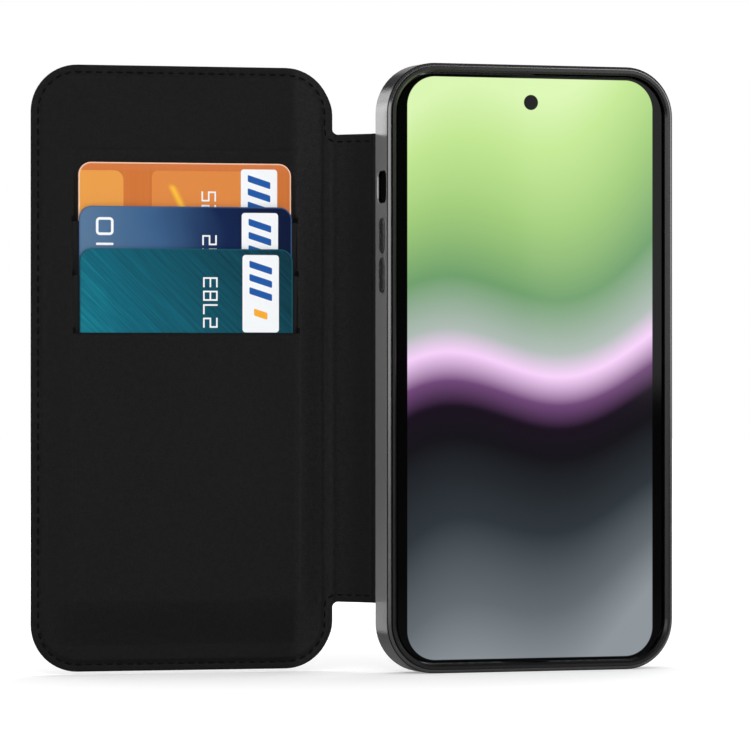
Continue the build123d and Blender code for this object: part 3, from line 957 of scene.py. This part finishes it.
def cover_grid(inset, spine_end, across_extra=(), up_extra=()):
    """The flat cover and spine, cut into cells."""
    far_edge = COVER_WIDTH - SHEET_EDGE
    across = steps(spine_end, -FOLD_HALF, MEDIUM)[1:]
    across += steps(-FOLD_HALF, SHEET_EDGE, FINE)[1:]
    across += steps(SHEET_EDGE, far_edge, COARSE)[1:]
    across += steps(far_edge, COVER_WIDTH, FINE)[1:-1]
    up = steps(COVER_LOW, COVER_LOW + SHEET_EDGE, FINE)[1:]
    up += steps(COVER_LOW + SHEET_EDGE, SPINE_LOW + COARSE, MEDIUM)[1:]
    up += steps(SPINE_LOW + COARSE, SPINE_HIGH - COARSE, COARSE)[1:]
    up += steps(SPINE_HIGH - COARSE, COVER_HIGH - SHEET_EDGE, MEDIUM)[1:]
    up += steps(COVER_HIGH - SHEET_EDGE, COVER_HIGH, FINE)[1:-1]
    shape = bmesh.new()
    outline_face(shape, *cover_polygon(inset, spine_end))
    slice_face(shape, 0, sorted([*across, *across_extra]))
    slice_face(shape, 1, sorted([*up, *up_extra]))
    return shape


LINING_INSET = 0.12
LINING_THICK = 0.25
SPINE_END = -SPINE_LENGTH + SPINE_START
PAST_END = 10.0
PAST_SPINE = SPINE_END - PAST_END
FLANK_PLACES = (0.0, 0.35, 0.8, 1.6, 2.5, 3.4, 4.3, 5.2)
side_places = [RECESS_HALF, RECESS_HALF + 0.35, *(POCKET_HALF + place for place in FLANK_PLACES)]
pocket_sides = [POCKET_MIDDLE + sign * place for sign in (-1, 1) for place in side_places]
pocket_ups = [PRESSED_TOP + shift for shift in (-0.6, -0.3, 0.0, 0.3, 0.6)]
pocket_ups += [slit + shift for slit in SLITS for shift in (0.0, 0.2, 0.4, 0.6, 0.8)]
pocket_ups += steps(POCKET_BOTTOM - FOOT_SLOPE, POCKET_BOTTOM, 0.8)
shape = cover_grid(LINING_INSET, SPINE_END, pocket_sides, pocket_ups)
window = [
    face for face in shape.faces
    if abs(face.calc_center_median().x - POCKET_MIDDLE) < POCKET_HALF
    and SLITS[2] < face.calc_center_median().y < SLITS[0]
]
bmesh.ops.delete(shape, geom=window, context="FACES")
raise_sheet(shape, outline_points(*cover_polygon(LINING_INSET, PAST_SPINE)), cover_seam, lining_out, 1)
fold_sheet(shape)
for face in shape.faces:
    face.normal_flip()
lining = add_sheet(shape, "lining", lining_leather, LINING_THICK)
print("lining:", len(lining.data.polygons), "faces")
blend_cover(lining)
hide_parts("cover_lining", "spine_lining", "pocket_panel_3")

# %% [markdown]
# ## The outer leather
#
# The outer sheet is cut a little larger than the lining and its edge is rolled over. It uses the same
# outline and the same seam, seen from the other side. There is no pocket here, only the board's edge
# showing faintly through.

# %% Outer leather sheet
OUTER_FACE = 1.0
OUTER_THICK = 0.45
OUTER_ROLL = (0.22, 0.55)
OUTER_CREASE = 0.06


def outer_out(across, _up, edge):
    """Height of the outer face; it is the same all along the height."""
    crease = groove(edge, BOARD_EDGE, 0.8) * (across > 0)
    depth, width = OUTER_ROLL
    return OUTER_FACE - OUTER_CREASE * crease - depth * smooth(1 - edge / width)


shape = cover_grid(0.0, SPINE_END)
raise_sheet(shape, outline_points(*cover_polygon(0.0, PAST_SPINE)), cover_seam, outer_out, -1)
fold_sheet(shape)
cover_outside = add_sheet(shape, "cover_outside", outer_leather, OUTER_THICK)
blend_cover(cover_outside)
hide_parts("cover_leather", "spine_leather", "front_fold_leather")
print("outer leather:", len(cover_outside.data.polygons), "faces")

# %% [markdown]
# ## Thread on both sides of the cover
#
# One seam shows on both faces, so both rows use the same points. The inner thread lies on the sewn
# margin, the outer one on the leather's face. The tacks at the slits' ends go into the inner piece.

# %% Stitches of the cover
TACK_HALF = POCKET_HALF - 0.2
TACK_GAP = 0.36
TACK_LIFT = 0.5
TACK_PROUD = 0.05
THREAD_SUNK = 0.02
inner_row = [(spot, heading, margin_out(spot.x) + THREAD_SUNK) for spot, heading in cover_seam]
outer_row = [(spot, heading, OUTER_FACE - THREAD_SUNK) for spot, heading in cover_seam]
for slit in SLITS:
    for beside in (-1, 1):
        for shift in (-1, 0, 1):
            tack = Vector((POCKET_MIDDLE + beside * TACK_HALF + shift * TACK_GAP, slit + TACK_LIFT))
            out = lining_out(tack.x, tack.y, SHEET_EDGE) - TACK_PROUD
            inner_row.append((tack, Vector((0, 1)), out))
for name, row, side in (("inner_stitches", inner_row, -1), ("outer_stitches", outer_row, 1)):
    shape = bmesh.new()
    add_stitches(shape, row, side)
    write_sheet_uv(shape)
    fold_sheet(shape)
    bmesh.ops.recalc_face_normals(shape, faces=shape.faces)
    stitches = add_object(shape, name, thread, 80)
    blend_cover(stitches)

# %% [markdown]
# ## The strip that bends behind the case
#
# Between the tab and the spine lies a free strip of leather that wraps round the hinge. Its section is
# worked out in polar form about the hinge: distance and angle both glide from the tab's end to the
# spine's end.

# %% Back fold strip
STRIP_STEPS = 16
STRIP_BEVEL = 0.15
spine_out = Vector((math.sin(SPINE_ANGLE), -math.cos(SPINE_ANGLE), 0))
spine_inner_end = BACK_FOLD + spine_out * STAND_OFF + spine_along * SPINE_START
spine_outer_end = BACK_FOLD + spine_out * (STAND_OFF + SPINE_THICK) + spine_along * SPINE_START
TAB_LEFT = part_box("tab_leather")[0].x / MM
TAB_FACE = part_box("tab_leather")[1].y / MM


def hinge_polar(point):
    """Distance and angle of a point about the back hinge."""
    x, y = point.x - BACK_FOLD.x, point.y - BACK_FOLD.y
    return math.hypot(x, y), math.atan2(y, x)


def strip_curve(start, end):
    """Points of one face of the strip, from its start on the tab to its end on the spine."""
    (start_far, start_turn), (end_far, end_turn) = hinge_polar(start), hinge_polar(end)
    points = []
    for k in range(STRIP_STEPS + 1):
        share = k / STRIP_STEPS
        far = start_far + (end_far - start_far) * smooth(share)
        turn = start_turn + (end_turn - start_turn) * share
        points.append((BACK_FOLD.x + far * math.cos(turn), BACK_FOLD.y + far * math.sin(turn)))
    return points


shape = bmesh.new()
section = strip_curve(Vector((TAB_LEFT, PLATE_BACK, 0)), spine_inner_end)
section += reversed(strip_curve(Vector((TAB_LEFT, TAB_FACE, 0)), spine_outer_end))
section_face = shape.faces.new([shape.verts.new((x * MM, y * MM, SPINE_LOW * MM)) for x, y in section])
grown = bmesh.ops.extrude_face_region(shape, geom=[section_face])
top_verts = [item for item in grown["geom"] if isinstance(item, bmesh.types.BMVert)]
bmesh.ops.translate(shape, vec=UP * (SPINE_HIGH - SPINE_LOW) * MM, verts=top_verts)
end_faces = [face for face in shape.faces if len(face.verts) > 4]
rim = {edge for face in end_faces for edge in face.edges}
bmesh.ops.bevel(
    shape, geom=list(rim), offset=STRIP_BEVEL * MM, segments=3, profile=0.5,
    affect="EDGES", material=-1,
)
bmesh.ops.recalc_face_normals(shape, faces=shape.faces)


STRIP_FAR = 1.4
STRIP_SHIFT = 4.0


def strip_spot(vertex):
    """Flat place of a point of the strip: its angle, times the middle distance, runs across."""
    _, turn = hinge_polar(vertex.co / MM)
    return SPINE_END - STRIP_SHIFT + STRIP_FAR * turn, vertex.co.z / MM


write_sheet_uv(shape, strip_spot)
back_strip = add_object(shape, "back_fold_strip", outer_leather, 40)
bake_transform(back_strip)
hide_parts("back_fold_leather")

# %% [markdown]
# ## The tab bonded to the back
#
# The tab is cut by hand from the same leather. Its free edge is straight at both ends and gives way to
# the magnet ring in the middle by a smooth S on each side. The stitches follow that edge.

# %% Tab
TAB_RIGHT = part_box("tab_leather")[1].x / MM
TAB_WAIST = TAB_LEFT + 4.7
TAB_WAIST_HALF = 10.0
TAB_CURVE_HALF = 24.5
TAB_CELL = 0.6
TAB_THICK = 0.25
TAB_ROLL = (0.25, 0.5)
ring_low, ring_high = (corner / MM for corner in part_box("magnet_trim_ring"))
RING_HEIGHT = (ring_low.z + ring_high.z) / 2


def tab_edge(height):
    """Place of the tab's free edge at a height."""
    away = (abs(height - RING_HEIGHT) - TAB_WAIST_HALF) / (TAB_CURVE_HALF - TAB_WAIST_HALF)
    return TAB_WAIST + (TAB_RIGHT - TAB_WAIST) * smooth(away)


def tab_outline(inset):
    """The tab's outline, drawn inside its edge by an inset, from bottom left round to top left."""
    low, high = SPINE_LOW + inset, SPINE_HIGH - inset
    heights = steps(RING_HEIGHT - TAB_CURVE_HALF, RING_HEIGHT + TAB_CURVE_HALF, 1.0)
    free = [(tab_edge(height) - inset, height) for height in heights]
    right = TAB_RIGHT - inset
    return [(TAB_LEFT, low), (right, low), *free, (right, high), (TAB_LEFT, high)]


def tab_out(_across, _up, edge):
    """Height of the tab's face, rolled over at its edge."""
    depth, width = TAB_ROLL
    return TAB_FACE - depth * smooth(1 - edge / width)


def stand_up(shape):
    """Turns a flat bmesh of the back (across, up, out in millimetres) upright, in metres."""
    for vertex in shape.verts:
        vertex.co = Vector((vertex.co.x, vertex.co.z, vertex.co.y)) * MM


tab_seam = stitch_row(tab_outline(STITCH_INSET))
shape = bmesh.new()
shape.faces.new([shape.verts.new((x, z, 0)) for x, z in tab_outline(0.0)])
slice_face(shape, 0, steps(TAB_LEFT, TAB_RIGHT, FINE)[1:-1])
slice_face(shape, 1, steps(SPINE_LOW, SPINE_HIGH, TAB_CELL)[1:-1])
past_tab = TAB_LEFT - PAST_END
open_outline = [(past_tab, SPINE_LOW), *tab_outline(0.0)[1:-1], (past_tab, SPINE_HIGH)]
raise_sheet(shape, open_outline, tab_seam, tab_out, -1)
stand_up(shape)
bmesh.ops.recalc_face_normals(shape, faces=shape.faces)
if sum(face.normal.y for face in shape.faces) < 0:
    bmesh.ops.reverse_faces(shape, faces=shape.faces)
tab = add_sheet(shape, "back_tab", outer_leather, TAB_THICK)
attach(tab, "case_shell")
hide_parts("tab_leather")

shape = bmesh.new()
add_stitches(shape, [(spot, heading, TAB_FACE - THREAD_SUNK) for spot, heading in tab_seam], 1)
write_sheet_uv(shape)
stand_up(shape)
bmesh.ops.recalc_face_normals(shape, faces=shape.faces)
tab_stitches = add_object(shape, "tab_stitches", thread, 80)
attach(tab_stitches, "case_shell")

# %% [markdown]
# ## Printed cards
#
# The cards keep their solids: only their colour is made here. Each colour is worked out from the place on
# the card, `left` of its middle and `down` from its top. Shapes are written as distances to rounded
# boxes, and the middle layer of each card has a paler ink of its own, so a thin line shows at the edge.
# A lighter band round the edge of the front face is a painted highlight.
# All three carry plain inventions: a white patch with slanted bars, a row of figures and soft shapes.

# %% Card coordinates and print helpers
CARD_HALF = (26.99, 42.8)
CARD_ROUND = 3.18
CORE_HALF = 0.24
PATCH_MIDDLE = (-18.8, 11.1)
PATCH_HALF = (4.65, 9.65)
FIGURE_SIZE = (2.1, 3.3)
FIGURE_PITCH = 3.35
FIGURE_START = (-7.6, 19.4)
STROKE_HALF = 0.2
PRINT_EDGE = 0.06
INK_BLUE = display(22, 84, 160)
INK_AMBER = display(240, 165, 40)
INK_WHITE = display(236, 238, 240)
BAR_SLANT = 0.32
PATCH_BARS = ((4.6, 2.9, INK_BLUE), (7.9, 2.9, INK_BLUE), (11.2, 2.9, INK_BLUE), (16.2, 1.7, INK_AMBER))
cover_along = Vector((math.cos(COVER_ANGLE), math.sin(COVER_ANGLE), 0))
cover_out = Vector((math.sin(COVER_ANGLE), -math.cos(COVER_ANGLE), 0))
STROKES = {
    "top": ((0.0, 1.0), (1.0, 1.0)),
    "middle": ((0.0, 0.5), (1.0, 0.5)),
    "bottom": ((0.0, 0.0), (1.0, 0.0)),
    "upper left": ((0.0, 0.5), (0.0, 1.0)),
    "lower left": ((0.0, 0.0), (0.0, 0.5)),
    "upper right": ((1.0, 0.5), (1.0, 1.0)),
    "lower right": ((1.0, 0.0), (1.0, 0.5)),
}
FIGURES = {
    "2": ("top", "upper right", "middle", "lower left", "bottom"),
    "3": ("top", "upper right", "middle", "lower right", "bottom"),
    "4": ("upper left", "middle", "upper right", "lower right"),
    "5": ("top", "upper left", "middle", "lower right", "bottom"),
    "7": ("top", "upper right", "lower right"),
    "8": tuple(STROKES),
}


def around(left, down, middle, half, corner):
    """Distance outside a rounded box on the card."""
    return box_distance(left - middle[0], down - middle[1], half, corner)


def print_shape(finish, colour, outside, ink):
    """Lays an ink over a colour wherever the distance outside a shape is negative."""
    return finish.blend(outside.soft_step(PRINT_EDGE, -PRINT_EDGE), colour, ink)


def print_box(finish, colour, spot, middle, half, corner, ink):
    """Prints a rounded box; spot is a pair of wires, left and down."""
    return print_shape(finish, colour, around(*spot, middle, half, corner), ink)


def figure_row(left, down, text):
    """Distance to a row of figures that reads upwards along the card."""
    nearest = None
    for place, figure in enumerate(text):
        for stroke in FIGURES[figure]:
            ends = STROKES[stroke]
            across = (ends[0][0] + ends[1][0]) / 2 * FIGURE_SIZE[0]
            height = (ends[0][1] + ends[1][1]) / 2 * FIGURE_SIZE[1]
            run = abs(ends[1][0] - ends[0][0]) * FIGURE_SIZE[0] / 2
            rise = abs(ends[1][1] - ends[0][1]) * FIGURE_SIZE[1] / 2
            middle = (FIGURE_START[0] + height, FIGURE_START[1] - place * FIGURE_PITCH - across)
            half = (rise + STROKE_HALF, run + STROKE_HALF)
            outside = around(left, down, middle, half, STROKE_HALF * 0.6)
            nearest = outside if nearest is None else nearest.math("MINIMUM", outside)
    return nearest


def white_patch(finish, colour, left, down):
    """A white patch with slanted blue bars and one amber bar."""
    colour = print_box(finish, colour, (left, down), PATCH_MIDDLE, PATCH_HALF, 0.8, INK_WHITE)
    slanted = down + (left - PATCH_MIDDLE[0]) * BAR_SLANT
    for place, half_length, ink in PATCH_BARS:
        middle, half = (PATCH_MIDDLE[0], place), (half_length, 0.85)
        colour = print_box(finish, colour, (left, slanted), middle, half, 0.3, ink)
    return colour


def card_finish(node, art, rim, core_ink, figures):
    """A card: printed art, patch and figures in front, a painted edge highlight, stripe and panel behind,
    a pale core.
    """
    finish = Finish(node.replace("card", "print"), Specular_IOR_Level=0.12)
    x, y, z = finish.axes()
    low, high = (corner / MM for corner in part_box(node))
    across = (x - FRONT_FOLD.x) * cover_along.x + (y - FRONT_FOLD.y) * cover_along.y
    depth = (x - FRONT_FOLD.x) * cover_out.x + (y - FRONT_FOLD.y) * cover_out.y
    left = across - POCKET_MIDDLE
    down = high.z - z
    ground = art(finish, left, down)
    colour = white_patch(finish, ground, left, down)
    row = figure_row(left, down, figures)
    middle = ((low + high) / 2 - FRONT_FOLD).dot(cover_out)
    front = (depth - middle).soft_step(0.1, -0.1)
    figure = row.soft_step(PRINT_EDGE, -PRINT_EDGE) * front
    colour = finish.blend(figure, colour, INK_WHITE)
    # painted highlight: a lighter band round the edge of the front face
    edge = around(left, down, (0.0, CARD_HALF[1]), CARD_HALF, CARD_ROUND)
    colour = finish.blend(edge.soft_step(-0.45, -0.1) * 0.75, colour, rim)
    spot = (left, down)
    stripe, panel = (17.0, CARD_HALF[1]), (4.0, CARD_HALF[1])
    reverse = print_box(finish, ground, spot, stripe, (5.5, CARD_HALF[1] + 1), 0.1, grey(24))
    reverse = print_box(finish, reverse, spot, panel, (4.0, 30.0), 0.5, grey(226))
    colour = finish.blend(front, reverse, colour)
    core = (depth - middle).math("ABSOLUTE").soft_step(CORE_HALF + 0.04, CORE_HALF)
    finish.set("Base Color", finish.blend(core, colour, core_ink))
    finish.set("Roughness", 0.32 + finish.noise(finish.join(left, down), 0.12, 3.0) * 0.12)
    finish.bump(figure, 0.12, 0.5)
    return finish.material


# %% [markdown]
# The ground of a card is a few soft shapes over noise. Noise that is stretched one way makes brushed
# streaks, and a colour ramp over a slanted distance makes a slow shift of hue. Each art is a function
# from the place on the card to a colour, so the three cards share all the rest.

# %% Art of the three cards
def amber_art(finish, left, down):
    """Orange with two paler panels and a soft slanted glow."""
    stripes = finish.noise(finish.join(left * 1.2, down * 0.02), 1.0, 2.0)
    colour = finish.blend(stripes, display(190, 103, 45), display(207, 118, 54))
    top_band = down.soft_step(2.6, 1.2)
    for middle, half, corner, ink in (
        ((-6.5, 44.0), (15.0, 42.0), 1.6, display(214, 130, 62)),
        ((24.5, 30.0), (8.8, 28.0), 2.4, display(223, 150, 68)),
    ):
        colour = print_box(finish, colour, (left, down), middle, half, corner, ink)
    slanted = left + down * 0.5
    glow = around(slanted, down, (6.3, 9.6), (0.2, 3.4), 0.2).soft_step(1.3, -0.4)
    colour = finish.blend(glow, colour, display(242, 186, 52))
    return finish.blend(top_band * 0.5, colour, display(206, 116, 66))


def navy_art(finish, left, down):
    """Dark to light blue with a small square outline and two bars."""
    cloud = finish.noise(finish.join(left, down), 0.05, 2.0)
    share = (left + 27.0) / 54.0 + (cloud - 0.5) * 0.25 + down * 0.004
    colour = finish.ramp(
        share,
        [
            (0.0, display(2, 16, 50)),
            (0.36, display(5, 30, 74)),
            (0.66, display(54, 91, 133)),
            (1.0, display(82, 113, 145)),
        ],
    )
    ring = around(left, down, (20.6, 5.0), (1.9, 1.9), 0.7).math("ABSOLUTE") - 0.32
    colour = print_shape(finish, colour, ring, INK_WHITE)
    for place in (9.4, 11.0):
        middle = (20.6, place)
        colour = print_box(finish, colour, (left, down), middle, (2.2, 0.3), 0.25, INK_WHITE)
    return colour


def teal_art(finish, left, down):
    """Teal with slanted brushed streaks."""
    streak = finish.noise(finish.join((left + down) * 1.1, (left - down) * 0.03), 1.0, 4.0, 0.7)
    share = (left + 27.0) / 54.0 * 0.7 + down * 0.008 + (streak - 0.5) * 0.9
    return finish.ramp(
        share,
        [
            (0.0, display(0, 46, 60)),
            (0.35, display(0, 72, 88)),
            (0.7, display(0, 94, 114)),
            (1.0, display(6, 130, 144)),
        ],
    )


# the third entry of each card is the colour of its painted edge highlight
for node, art, rim, core_ink, figures in (
    ("amber_card", amber_art, (250, 214, 190), (236, 214, 196), "4725"),
    ("navy_card", navy_art, (60, 90, 132), (78, 84, 128), "8352"),
    ("teal_card", teal_art, (8, 84, 100), (34, 96, 108), "2783"),
):
    paint(node, card_finish(node, art, display(*rim), display(*core_ink), figures))


def pocket_finish():
    """The same lining on the solid pocket panels, from object coordinates."""
    finish = Finish("pocket_lining", Specular_IOR_Level=0.2)
    x, y, z = finish.axes()
    place = finish.join(x, y, z)
    pebbles = finish.noise(place, 3.0, 3.0)
    finish.set("Base Color", finish.blend(pebbles, grey(22), grey(28)))
    finish.set("Roughness", 0.62 + pebbles * 0.1)
    finish.bump(pebbles, 0.02, 0.6)
    return finish.material


pocket_lining = pocket_finish()
paint("pocket_panel_1", pocket_lining)
paint("pocket_panel_2", pocket_lining)

# %% [markdown]
# ## Turned foils
#
# The magnet ring and the small upright bar under it are covered with foil that is turned on a lathe. The
# fine grooves are real: a zigzag only six hundredths of a millimetre deep. They spread each highlight
# across the grooves, and that gives the bright fans of a turned disc. The ring is spun from its section,
# and the bar is lofted from inset outlines.

# %% Groove section, spin and loft
GROOVE_PITCH = 0.42
GROOVE_DEPTH = 0.06
FOIL_EDGE = 0.12
PLATE_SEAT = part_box("magnet_trim_ring")[0].y / MM
FOIL_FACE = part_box("magnet_trim_ring")[1].y / MM


def foil_section(width):
    """(inset, height) pairs across a foil of a width, with bevelled rims and grooves between them."""
    section = [(0.0, PLATE_SEAT), (0.0, FOIL_FACE - FOIL_EDGE), (FOIL_EDGE, FOIL_FACE)]
    count = round((width - 4 * FOIL_EDGE) / GROOVE_PITCH)
    pitch = (width - 4 * FOIL_EDGE) / count
    for k in range(count):
        start = 2 * FOIL_EDGE + k * pitch
        section += [(start, FOIL_FACE), (start + pitch / 2, FOIL_FACE - GROOVE_DEPTH)]
    return section + [(width - 2 * FOIL_EDGE, FOIL_FACE)]


def spin_profile(shape, profile, middle, turns):
    """Turns a profile of (radius, height) pairs about an axis along Y through a point (x, z)."""
    verts = [shape.verts.new((middle[0] + far, height, middle[1])) for far, height in profile]
    lines = [shape.edges.new(pair) for pair in zip(verts, verts[1:])]
    bmesh.ops.spin(
        shape, geom=verts + lines, cent=(middle[0], 0, middle[1]), axis=(0, 1, 0),
        angle=2 * math.pi, steps=turns, use_merge=True,
    )
    bmesh.ops.remove_doubles(shape, verts=shape.verts, dist=1e-4)


def finish_turned(shape, name, material, body, smooth_angle):
    """Scales a bmesh from millimetres, orients it and lets the piece ride with a body."""
    bmesh.ops.scale(shape, vec=(MM, MM, MM), verts=shape.verts)
    bmesh.ops.recalc_face_normals(shape, faces=shape.faces)
    piece = add_object(shape, name, material, smooth_angle)
    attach(piece, body)
    return piece


def foil_finish():
    """Bright foil; the real grooves give it its fans of light."""
    finish = Finish("trim_foil", Metallic=1.0)
    x, y, z = finish.axes()
    wear = finish.noise(finish.join(x, y, z), 0.12, 4.0)
    finish.set("Base Color", finish.blend(wear, grey(122), grey(140)))
    finish.set("Roughness", 0.13 + wear * 0.07)
    return finish.material


trim_foil = foil_finish()
RING_OUTER = ring_high.x
RING_WIDTH = 5.5
RING_TURNS = 160
shape = bmesh.new()
section = foil_section(RING_WIDTH)
section += [(RING_WIDTH - FOIL_EDGE, FOIL_FACE), (RING_WIDTH, FOIL_FACE - FOIL_EDGE)]
section += [(RING_WIDTH, PLATE_SEAT), (0.0, PLATE_SEAT)]
profile = [(RING_OUTER - inset, height) for inset, height in section]
spin_profile(shape, profile, (0.0, RING_HEIGHT), RING_TURNS)
ring_foil = finish_turned(shape, "ring_foil", trim_foil, "case_shell", 10)
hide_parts("magnet_trim_ring")

bar_low, bar_high = (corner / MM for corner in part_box("alignment_trim"))
BAR_HALF = bar_high.x
BAR_STRAIGHT = (bar_high.z - bar_low.z) / 2 - BAR_HALF
BAR_MIDDLE = (bar_high.z + bar_low.z) / 2
BAR_ARC = 24


def bar_loop(inset, height):
    """A closed outline with round ends, drawn inside the bar's edge."""
    far = max(BAR_HALF - inset, 0.02)
    loop = []
    for side in (1, -1):
        for k in range(BAR_ARC + 1):
            turn = math.pi * k / BAR_ARC
            up = BAR_MIDDLE + side * (BAR_STRAIGHT + far * math.sin(turn))
            loop.append((side * far * math.cos(turn), height, up))
    return loop


def loft(shape, loops):
    """Joins equal closed loops by quads and closes the last one."""
    rings = [[shape.verts.new(point) for point in loop] for loop in loops]
    for low, high in zip(rings, rings[1:]):
        for k in range(len(low)):
            n = (k + 1) % len(low)
            shape.faces.new((low[k], low[n], high[n], high[k]))
    shape.faces.new(rings[-1])


shape = bmesh.new()
loft(shape, [bar_loop(inset, height) for inset, height in foil_section(BAR_HALF)])
bar_foil = finish_turned(shape, "bar_foil", trim_foil, "case_shell", 10)
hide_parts("alignment_trim")

# %% [markdown]
# ## Camera optics
#
# Each lens is a stack of turned parts: a black stepped barrel, a small inner lens with a blue coat, and
# a clear domed cover over both. All three are spun from a profile, because real lens parts are turned.
# The coat's blue glint is painted on the inner lens: a ring that glows, brighter on one side.

# %% Lenses
glass_low, glass_high = (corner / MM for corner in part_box("lens_glasses"))
LENS_SPREAD = 7.1
LENS_HALF = (glass_high.x - glass_low.x) / 2 - LENS_SPREAD
LENS_SPOTS = [
    (glass_high.x - LENS_HALF, glass_high.z - LENS_HALF),
    (glass_low.x + LENS_HALF, glass_low.z + LENS_HALF),
]
LENS_FLOOR = glass_low.y
LENS_TOP = glass_high.y
COVER_THICK = 0.3
LENS_SUNK = 0.1
LENS_TURNS = 64
BARREL = [
    (0.0, 0.12), (1.7, 0.12), (1.75, 0.3), (2.6, 0.34), (2.7, 0.46),
    (3.9, 0.5), (4.0, 0.62), (5.4, 0.66), (5.5, 0.76),
]
CORE = [(0.0, 0.5), (0.6, 0.47), (1.1, 0.38), (1.45, 0.26), (1.6, 0.13)]
DOME_DROP = 0.5
DOME_STEPS = 10


def dome(far):
    """Height of a shallow dome at a distance from the lens's axis."""
    return LENS_TOP - DOME_DROP * (far / LENS_HALF) ** 2


def black_finish():
    """Black barrel plastic with a little dust."""
    finish = Finish("lens_black", Specular_IOR_Level=0.5)
    x, y, z = finish.axes()
    dust = finish.noise(finish.join(x, y, z), 2.0, 3.0)
    finish.set("Base Color", finish.blend(dust, grey(6), grey(12)))
    finish.set("Roughness", 0.3 + dust * 0.1)
    return finish.material


def coated_finish():
    """A dark lens with a painted blue glint: a glowing ring, brighter on one side."""
    finish = Finish("lens_core", Coat_Weight=1.0, Coat_Roughness=0.02, Roughness=0.1)
    x, y, z = finish.axes()
    nearest = None
    for spot in LENS_SPOTS:
        far = distance(x - spot[0], z - spot[1])
        nearest = far if nearest is None else nearest.math("MINIMUM", far)
    # painted glint: a blue ring that glows, brighter on one side
    glint_side = ((x + z * 0.6) * 1.3).math("SINE") * 0.35 + 0.65
    ring = nearest.soft_step(0.3, 0.6) * nearest.soft_step(1.25, 0.8) * glint_side
    finish.set("Base Color", finish.blend(ring, display(8, 8, 16), display(40, 52, 225)))
    finish.set("Emission Color", finish.blend(ring, (0.0, 0.0, 0.0), display(22, 28, 160)))
    finish.set("Emission Strength", 0.5)
    return finish.material


def cover_glass_finish():
    """Clear glass with faint smears."""
    finish = Finish("lens_cover", IOR=1.5, Base_Color=(1, 1, 1), Transmission_Weight=1.0)
    x, y, z = finish.axes()
    smear = finish.noise(finish.join(x, y, z), 0.3, 3.0)
    finish.set("Roughness", 0.01 + smear * 0.02)
    return finish.material


barrels, cores, covers = bmesh.new(), bmesh.new(), bmesh.new()
rim = LENS_HALF - 0.03
glass_profile = [(far, dome(far)) for far in steps(0.0, rim, rim / DOME_STEPS)]
glass_profile += [(far, height - COVER_THICK) for far, height in reversed(glass_profile)]
for spot in LENS_SPOTS:
    barrel = [(far, LENS_FLOOR + height - LENS_SUNK) for far, height in BARREL]
    barrel += [(rim, LENS_FLOOR + 0.3), (rim, LENS_FLOOR), (0.0, LENS_FLOOR)]
    for shape, profile in (
        (barrels, barrel),
        (cores, [(far, LENS_FLOOR + height - LENS_SUNK) for far, height in CORE]),
        (covers, glass_profile),
    ):
        made = bmesh.new()
        spin_profile(made, profile, spot, LENS_TURNS)
        mesh = bpy.data.meshes.new("turned")
        made.to_mesh(mesh)
        made.free()
        shape.from_mesh(mesh)
        bpy.data.meshes.remove(mesh)
for shape, name, material in (
    (barrels, "lens_barrels", black_finish()),
    (cores, "lens_cores", coated_finish()),
    (covers, "lens_covers", cover_glass_finish()),
):
    finish_turned(shape, name, material, "phone", 25)
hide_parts("lens_glasses")


# %% [markdown]
# Flash and microphone are too small for modelled facets and holes. Crossed sine waves give the pattern
# of both, and rings of another tone give them their metal rims. The microphone's holes are dark spots of
# painted shade.

# %% Flash, microphone and lens rings
def disc_axes(finish, node):
    """Steps across and up from the axis of a round part, and the distance from it."""
    x, _, z = finish.axes()
    low, high = (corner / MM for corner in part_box(node))
    over_x, over_z = x - (low.x + high.x) / 2, z - (low.z + high.z) / 2
    return over_x, over_z, distance(over_x, over_z)


def flash_finish():
    """A warm faceted lens in a black seat with a metal rim."""
    finish = Finish("flash_lens", Roughness=0.25, Coat_Weight=0.6)
    over_x, over_z, far = disc_axes(finish, "flash_lens")
    facets = ((over_x * 4).math("SINE") + (over_z * 4).math("SINE")) * 0.25 + 0.5
    warm = finish.blend(facets, display(216, 196, 176), display(244, 232, 218))
    inner = far.soft_step(2.1, 1.9)
    colour = finish.blend(inner, display(26, 26, 28), warm)
    rim = far.soft_step(2.9, 3.1)
    finish.set("Base Color", finish.blend(rim, colour, grey(120)))
    finish.set("Metallic", rim)
    finish.bump(facets * inner, 0.08, 0.6)
    return finish.material


def mesh_finish():
    """A round metal mesh with rows of openings painted dark as shade."""
    finish = Finish("microphone_mesh")
    over_x, over_z, far = disc_axes(finish, "microphone_mesh")
    rows = (over_x * 16).math("SINE") * (over_z * 16).math("SINE")
    # painted shade: dark spots where the mesh's holes would be
    hole_shade = rows.soft_step(0.1, 0.3)
    colour = finish.blend(hole_shade, grey(92), grey(22))
    finish.set("Base Color", finish.blend(far.soft_step(1.45, 1.6), colour, grey(126)))
    finish.set("Metallic", 0.7)
    finish.set("Roughness", 0.42 + hole_shade * 0.2)
    return finish.material


paint("flash_lens", flash_finish())
paint("microphone_mesh", mesh_finish())
paint("lens_rings", plating_finish("lens_metal", 158, 0.2))
